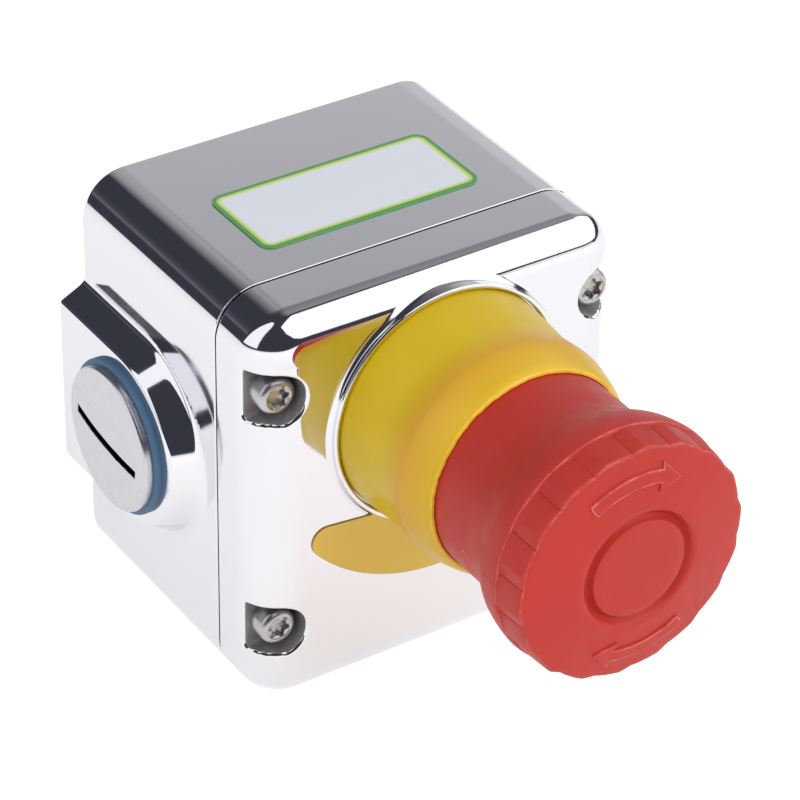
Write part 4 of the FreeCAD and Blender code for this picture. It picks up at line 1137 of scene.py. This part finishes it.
def rounded_outline(half_u, half_v, radius, count=12):
    """Points of a rectangle with round corners."""
    made = []
    for cu, cv, start in ((1, 1, 0), (-1, 1, 90), (-1, -1, 180), (1, -1, 270)):
        for a in np.radians(np.linspace(start, start + 90, count)):
            made.append((cu * (half_u - radius) + radius * math.cos(a),
                         cv * (half_v - radius) + radius * math.sin(a)))
    return np.array(made)


def arc(radius, start, end, count):
    """Points of a circle's arc round the origin."""
    return [(radius * math.cos(a), radius * math.sin(a)) for a in np.linspace(start, end, count)]


def crescent_outline(inner, outer):
    """Points of the crescent below the button: its ends slope down to the middle, its tips are round."""
    slope = math.tan(math.radians(LEGEND_SLOPE))

    def meets(cut, radius):
        """Where a line with the right end's slope, so far below the axis, meets a circle."""
        half = slope * cut
        x = (half + math.sqrt(half ** 2 - (1 + slope ** 2) * (cut ** 2 - radius ** 2))) / (1 + slope ** 2)
        return x, slope * x - cut

    side = (-math.sin(math.radians(LEGEND_SLOPE)), math.cos(math.radians(LEGEND_SLOPE)))
    tip = meets(LEGEND_CUT + LEGEND_TIP / side[1], outer - LEGEND_TIP)
    first = math.atan2(tip[1], tip[0])
    last = math.atan2(side[1], side[0])
    inner_end = meets(LEGEND_CUT, inner)
    start = math.atan2(inner_end[1], inner_end[0])
    right = arc(outer, -math.pi / 2, first, 32)[:-1]
    right += [(tip[0] + x, tip[1] + z) for x, z in arc(LEGEND_TIP, first, last, 10)]
    right += arc(inner, start, -math.pi / 2, 24)
    left = [(-x, z) for x, z in right[::-1]]
    return np.array(right[:-1] + left[:-1])


def shrunk(outline, inset):
    """An outline moved inwards along its own normals."""
    ahead = np.roll(outline, -1, 0) - outline
    behind = outline - np.roll(outline, 1, 0)
    way = ahead / np.linalg.norm(ahead, axis=1)[:, None] + behind / np.linalg.norm(behind, axis=1)[:, None]
    way /= np.linalg.norm(way, axis=1)[:, None]
    return outline + inset * np.stack([-way[:, 1], way[:, 0]], 1)


class STOPBUTTON_OT_plates(bpy.types.Operator):
    """Bare label on the top and bare legend below the button"""
    bl_idname = "stop_button.plates"
    bl_label = "Label and legend"

    def execute(self, context):
        colours = context.scene.stop_button_colours
        white = printed_film("white_polyester_film", colours.label)
        green = printed_film("green_printed_border", colours.border)
        line = printed_film("light_green_printed_line", colours.line)
        pale = printed_film("pale_green_printed_line", linear(PALE_LINE))
        half_u = (LABEL_HIGH[0] - LABEL_LOW[0]) / 2
        half_v = (LABEL_HIGH[1] - LABEL_LOW[1]) / 2
        middle = (LABEL_HIGH + LABEL_LOW) / 2
        outlines = [rounded_outline(half_u - i, half_v - i, max(LABEL_CORNER - i, 0.5)) for i in LABEL_INSETS]
        plate("top_label", outlines, LABEL_LOW[2], LABEL_HIGH[2] - LABEL_LOW[2],
              [green, green, line, pale, white], ["rating_label"],
              lambda p: np.stack([middle[0] + p[:, 0], middle[1] + p[:, 1], p[:, 2]], 1), LABEL_BEVEL)
        yellow = printed_film("yellow_printed_film", colours.legend)
        # The film's side wall is painted dark: a painted shadow along the legend's edge
        edge_shadow = printed_film("painted_edge_shadow_of_film", darker(colours.legend, 0.4))
        outer = AXIS_Z - LEGEND_LOW[2]
        outline = crescent_outline(outer - LEGEND_WIDTH, outer)
        outlines = [outline, shrunk(outline, 0.04), shrunk(outline, 0.08)]
        plate("legend_film", outlines, 0.0, LEGEND_HIGH[1] - LEGEND_LOW[1], [edge_shadow, edge_shadow, yellow],
              ["legend_plate"], along_y, LEGEND_BEVEL)
        return {"FINISHED"}


# Springs

# Wire thickness and number of turns
COILS = {"return_spring": (1.6, 4), "contact_spring_left": (0.5, 3), "contact_spring_middle": (0.5, 3),
         "contact_spring_right": (0.5, 3)}


def coil(low, high, wire, turns, sides=12, steps=40):
    """Points and faces of a round wire wound along Y between two corners."""
    middle = (low + high) / 2
    turn = np.linspace(0, 2 * np.pi * turns, turns * steps + 1)
    lean = circle(sides)
    along = np.linspace(low[1] + wire / 2, high[1] - wire / 2, len(turn))
    out = (high[0] - low[0] - wire) / 2 + wire / 2 * np.cos(lean)
    points = np.stack([middle[0] + np.outer(np.cos(turn), out), np.add.outer(along, wire / 2 * np.sin(lean)),
                       middle[2] + np.outer(np.sin(turn), out)], 2).reshape(-1, 3)
    faces = bands(len(turn), sides)
    faces += [list(range(sides))[::-1], list(range(len(points) - sides, len(points)))]
    return points, faces


class STOPBUTTON_OT_springs(bpy.types.Operator):
    """Return spring and contact springs as wound wire coils"""
    bl_idname = "stop_button.springs"
    bl_label = "Springs"

    def execute(self, context):
        wire_steel = drawn_metal("drawn_spring_steel", linear("#9a9a9d"), 0.3)
        for node, (wire, turns) in COILS.items():
            low, high = limits(node)
            points, faces = coil(low, high, wire, turns)
            made = piece(node.replace("spring", "coil"), points, faces, [wire_steel], "box",
                         [node])
            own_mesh(made)
        return {"FINISHED"}


# Inner parts

class STOPBUTTON_OT_inner_parts(bpy.types.Operator):
    """Finishes of the parts inside the box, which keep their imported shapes"""
    bl_idname = "stop_button.inner_parts"
    bl_label = "Inner parts"

    def execute(self, context):
        finishes = {
            "black_plastic": moulded_plastic("moulded_black_nylon", linear("#26262a"), 0.4, 0.5, 0.2),
            "grey_plastic": moulded_plastic("moulded_grey_nylon", linear("#8d9094"), 0.4, 0.48, 0.2),
            "red_plastic": bpy.data.materials["moulded_red_plastic"],
            "contact_brass": drawn_metal("pressed_brass", linear("#c9a455"), 0.28),
            "spring_steel": bpy.data.materials["drawn_spring_steel"],
            "screw_steel": bpy.data.materials["turned_stainless_steel"],
            "black_rubber": soft_rubber("moulded_black_rubber", linear("#1e1e20")),
        }
        slots = {part["node"]: part["material_slot"] for part in frame["record"]["subparts"]}
        for name, node in frame["nodes"].items():
            if node.hide_render:
                continue
            material = finishes[slots[name]]
            for index in range(len(node.material_slots)):
                node.material_slots[index].material = material
            if not node.material_slots:
                node.data.materials.append(material)
        return {"FINISHED"}


# Stage

# Camera: place in millimetres, turns in degrees, lens on a sensor in millimetres, range in metres
CAMERA_PLACE = (-304.06, -504.06, 379.71)
CAMERA_TURN = (55.805, -0.8805, -33.039)
CAMERA_LENS, CAMERA_SENSOR, CAMERA_RANGE = 168.474, 36.0, (0.01, 50.0)
# Floor and room in metres
FLOOR_HALF = 6.0
CARD_DISTANCE = 2.5
DOME_DISTANCE = 3.5
# Floor: its paint, and its glow to reflections and to the camera
FLOOR_PAINT, FLOOR_GLOW = "#ededed", (0.42, 0.72)
# Light of the world on the object, and what the camera and reflections see of it
WORLD_LIGHT = (0.55, 1.0)
# Lamps: place and width in metres, power in watts; all point at one spot
LAMPS = {"soft_box_front": ((0.35, -0.95, 0.65), 0.9, 6.0), "soft_box_left": ((-0.9, -0.35, 0.55), 0.7, 2.0)}
LAMP_AIM = (0, -0.05, 0)
ROOM_COLOUR = (0.042, 0.044, 0.058, 1.0)
# How much stronger blue is in the greys of the room and in its window
GREY_BLUE, WINDOW_BLUE = 1.04, 1.33
# Sheets with their levels and corners (azimuth, elevation) in degrees: azimuth runs from the back over the
# right, elevation from the floor up
CARDS = {
    "soft_box_right": (1.3, [(66, 14), (63, 40), (66, 57), (76, 64), (150, 80), (210, 68), (189, 45),
                             (172, 26), (154, 15), (150, 9), (125, 6.5), (112, 5.5), (98, 10), (80, 13)]),
    "soft_box_left": (1.1, [(-98, 4), (-98, 62), (-80, 74), (-57, 70), (-57, 4)]),
    "paper_sweep": (1.0, [(112, -3), (118, -1), (128, 3), (151, 4.5), (154, -3)]),
}
# Levels of the grey wall behind, by elevation and, along each row, by azimuth
WALL_AZIMUTHS = (-6, -3, 0, 5, 20, 26, 34, 54, 60, 64)
WALL = {
    -2: (0.045, 0.08, 0.17, 0.32, 0.53, 0.58, 0.62, 0.62, 0.4, 0.2),
    28: (0.045, 0.08, 0.17, 0.32, 0.53, 0.57, 0.6, 0.62, 0.4, 0.2),
    31: (0.045, 0.08, 0.17, 0.31, 0.47, 0.5, 0.51, 0.52, 0.36, 0.2),
    34: (0.045, 0.08, 0.17, 0.31, 0.45, 0.45, 0.43, 0.44, 0.32, 0.2),
    40: (0.1, 0.18, 0.28, 0.38, 0.41, 0.28, 0.22, 0.3, 0.28, 0.2),
    46: (0.05, 0.06, 0.08, 0.13, 0.16, 0.13, 0.2, 0.3, 0.28, 0.2),
    60: (0.045, 0.045, 0.05, 0.05, 0.06, 0.1, 0.19, 0.28, 0.28, 0.2),
    72: (0.045, 0.045, 0.045, 0.045, 0.05, 0.07, 0.1, 0.12, 0.12, 0.12),
}
# A dim window far on the left, in the same form
WINDOW_AZIMUTHS = (-54, -47, -40, -34, -28)
WINDOW = {
    14.5: (0.043, 0.043, 0.043, 0.043, 0.043),
    16.5: (0.043, 0.1, 0.13, 0.1, 0.043),
    18.5: (0.043, 0.1, 0.13, 0.1, 0.043),
    21.0: (0.043, 0.06, 0.07, 0.06, 0.043),
    28.0: (0.043, 0.043, 0.043, 0.043, 0.043),
}


def heading(azimuth, elevation):
    """Unit vector of a direction in degrees."""
    a, e = math.radians(azimuth), math.radians(elevation)
    return Vector((math.sin(a) * math.cos(e), math.cos(a) * math.cos(e), math.sin(e)))


def reflected_only(name, points, faces, colours):
    """A glowing sheet of the studio that only reflections see, with a colour at each point."""
    mesh = bpy.data.meshes.new(name)
    mesh.from_pydata(points, [], faces)
    mesh.color_attributes.new("glow", "FLOAT_COLOR", "POINT").data.foreach_set("color", np.ravel(colours))
    material, tree = empty_material(name)
    colour = add(tree, "ShaderNodeVertexColor", layer_name="glow").outputs["Color"]
    glow = add(tree, "ShaderNodeEmission", {"Color": colour, "Strength": 1.0})
    add(tree, "ShaderNodeOutputMaterial", {"Surface": glow.outputs[0]})
    mesh.materials.append(material)
    made = bpy.data.objects.new(name, mesh)
    bpy.context.scene.collection.objects.link(made)
    made.visible_camera = False
    made.visible_diffuse = False
    made.visible_shadow = False


def card(name, level, corners):
    """A reflector, wall or lamp front with its corners in given directions."""
    points = [heading(*corner) * CARD_DISTANCE for corner in corners]
    middle = sum(points, Vector()) / len(points)
    count = len(points)
    faces = [(k, (k + 1) % count, count) for k in range(count)]
    reflected_only(name, points + [middle], faces, [cool(level)] * (count + 1))


def cool(level, blue=GREY_BLUE):
    """A faintly blue grey of a given level."""
    return level, level, level * blue, 1.0


def graded_sheet(name, azimuths, rows, blue=GREY_BLUE):
    """A part of the room whose brightness changes along it."""
    points = [heading(azimuth, elevation) * CARD_DISTANCE for elevation in rows for azimuth in azimuths]
    colours = [cool(level, blue) for levels in rows.values() for level in levels]
    reflected_only(name, points, bands(len(rows), len(azimuths), closed=False), colours)


def dark_room(rings=12, segments=48):
    """The dim room above the floor, as a dome."""
    points = [heading(azimuth, elevation) * DOME_DISTANCE for elevation in np.linspace(-1.5, 90, rings)
              for azimuth in np.arange(segments) * 360 / segments]
    reflected_only("dark_room", points, bands(rings, segments), [ROOM_COLOUR] * len(points))


def looked_at(tree):
    """Light Path's outputs, and a share that is 1 for the camera, for reflections and through glass."""
    path = add(tree, "ShaderNodeLightPath").outputs
    seen = path["Is Camera Ray"]
    for ray in ("Is Glossy Ray", "Is Transmission Ray"):
        seen = add(tree, "ShaderNodeMath", {0: seen, 1: path[ray]}, operation="MAXIMUM").outputs[0]
    return path, seen


class STOPBUTTON_OT_stage(bpy.types.Operator):
    """Pale floor, soft light, reflection cards and the camera"""
    bl_idname = "stop_button.stage"
    bl_label = "Stage"

    def execute(self, context):
        scene = context.scene
        scene.view_settings.view_transform = "Standard"
        self.floor(scene)
        self.world(scene)
        dark_room()
        graded_sheet("grey_wall", WALL_AZIMUTHS, WALL)
        graded_sheet("dim_window", WINDOW_AZIMUTHS, WINDOW, WINDOW_BLUE)
        for name, (level, corners) in CARDS.items():
            card(name, level, corners)
        self.lamps(scene)
        camera = bpy.data.cameras.new("photo_camera")
        camera.lens = CAMERA_LENS
        camera.sensor_width = CAMERA_SENSOR
        camera.clip_start, camera.clip_end = CAMERA_RANGE
        eye = bpy.data.objects.new("photo_camera", camera)
        eye.location = [c * MM for c in CAMERA_PLACE]
        eye.rotation_euler = [math.radians(a) for a in CAMERA_TURN]
        scene.collection.objects.link(eye)
        scene.camera = eye
        return {"FINISHED"}

    def floor(self, scene):
        """A wide plain floor that is white to the camera and to reflections, and keeps a soft shadow."""
        mesh = bpy.data.meshes.new("floor")
        corners = ((-1, -1), (1, -1), (1, 1), (-1, 1))
        points = [(x * FLOOR_HALF, y * FLOOR_HALF, FLOOR_Z * MM) for x, y in corners]
        mesh.from_pydata(points, [], [(0, 1, 2, 3)])
        material, tree = empty_material("white_studio_floor")
        paint = add(tree, "ShaderNodeBsdfDiffuse", {"Color": linear(FLOOR_PAINT)})
        path, seen = looked_at(tree)
        strength = add(tree, "ShaderNodeMapRange", {"Value": path["Is Camera Ray"], "To Min": FLOOR_GLOW[0],
                                                    "To Max": FLOOR_GLOW[1]}).outputs["Result"]
        strength = add(tree, "ShaderNodeMath", {0: seen, 1: strength}, operation="MULTIPLY").outputs[0]
        glow = add(tree, "ShaderNodeEmission", {"Strength": strength})
        both = add(tree, "ShaderNodeAddShader", {0: paint.outputs[0], 1: glow.outputs[0]})
        add(tree, "ShaderNodeOutputMaterial", {"Surface": both.outputs[0]})
        mesh.materials.append(material)
        floor = bpy.data.objects.new("floor", mesh)
        scene.collection.objects.link(floor)

    def world(self, scene):
        """White to the camera and to reflections, and a plain soft light for everything else."""
        world = bpy.data.worlds.new("light_tent")
        world.use_nodes = True
        tree = world.node_tree
        tree.nodes.clear()
        _, seen = looked_at(tree)
        strength = add(tree, "ShaderNodeMapRange", {"Value": seen, "To Min": WORLD_LIGHT[0],
                                                    "To Max": WORLD_LIGHT[1]}).outputs["Result"]
        back = add(tree, "ShaderNodeBackground", {"Color": (1.0, 1.0, 1.0, 1.0), "Strength": strength})
        add(tree, "ShaderNodeOutputWorld", {"Surface": back.outputs[0]})
        scene.world = world

    def lamps(self, scene):
        """A large soft box above and in front, and a weaker one from the left."""
        for name, (place, width, power) in LAMPS.items():
            lamp = bpy.data.lights.new(name, "AREA")
            lamp.shape = "SQUARE"
            lamp.size = width
            lamp.energy = power
            made = bpy.data.objects.new(name, lamp)
            made.location = place
            made.rotation_euler = (Vector(LAMP_AIM) - Vector(place)).to_track_quat("-Z", "Y").to_euler()
            made.visible_glossy = False
            scene.collection.objects.link(made)


class STOPBUTTON_PT_panel(bpy.types.Panel):
    """Lists the steps that build the stop button"""
    bl_idname = "STOPBUTTON_PT_panel"
    bl_label = "Stop button"
    bl_space_type = "VIEW_3D"
    bl_region_type = "UI"
    bl_category = "Stop button"

    def draw(self, context):
        for operator in OPERATORS:
            self.layout.operator(operator.bl_idname)
        for group in (context.scene.stop_button_sizes, context.scene.stop_button_colours):
            for name in type(group).__annotations__:
                self.layout.prop(group, name)


OPERATORS = (STOPBUTTON_OT_box_body, STOPBUTTON_OT_front_cover, STOPBUTTON_OT_cover_screws,
             STOPBUTTON_OT_entry_plug, STOPBUTTON_OT_guard_shroud, STOPBUTTON_OT_mushroom_head,
             STOPBUTTON_OT_plates, STOPBUTTON_OT_springs, STOPBUTTON_OT_inner_parts, STOPBUTTON_OT_stage)
GROUPS = (StopButtonSizes, StopButtonColours)


def register():
    """Registers the properties, the operators and the panel."""
    for cls in GROUPS + OPERATORS + (STOPBUTTON_PT_panel,):
        bpy.utils.register_class(cls)
    bpy.types.Scene.stop_button_sizes = bpy.props.PointerProperty(type=StopButtonSizes)
    bpy.types.Scene.stop_button_colours = bpy.props.PointerProperty(type=StopButtonColours)


def unregister():
    """Takes away what register added."""
    del bpy.types.Scene.stop_button_colours
    del bpy.types.Scene.stop_button_sizes
    for cls in reversed(GROUPS + OPERATORS + (STOPBUTTON_PT_panel,)):
        bpy.utils.unregister_class(cls)


def main():
    """Builds every piece in order."""
    register()
    for operator in OPERATORS:
        area, name = operator.bl_idname.split(".")
        getattr(getattr(bpy.ops, area), name)()


if __name__ == "__main__":
    main()
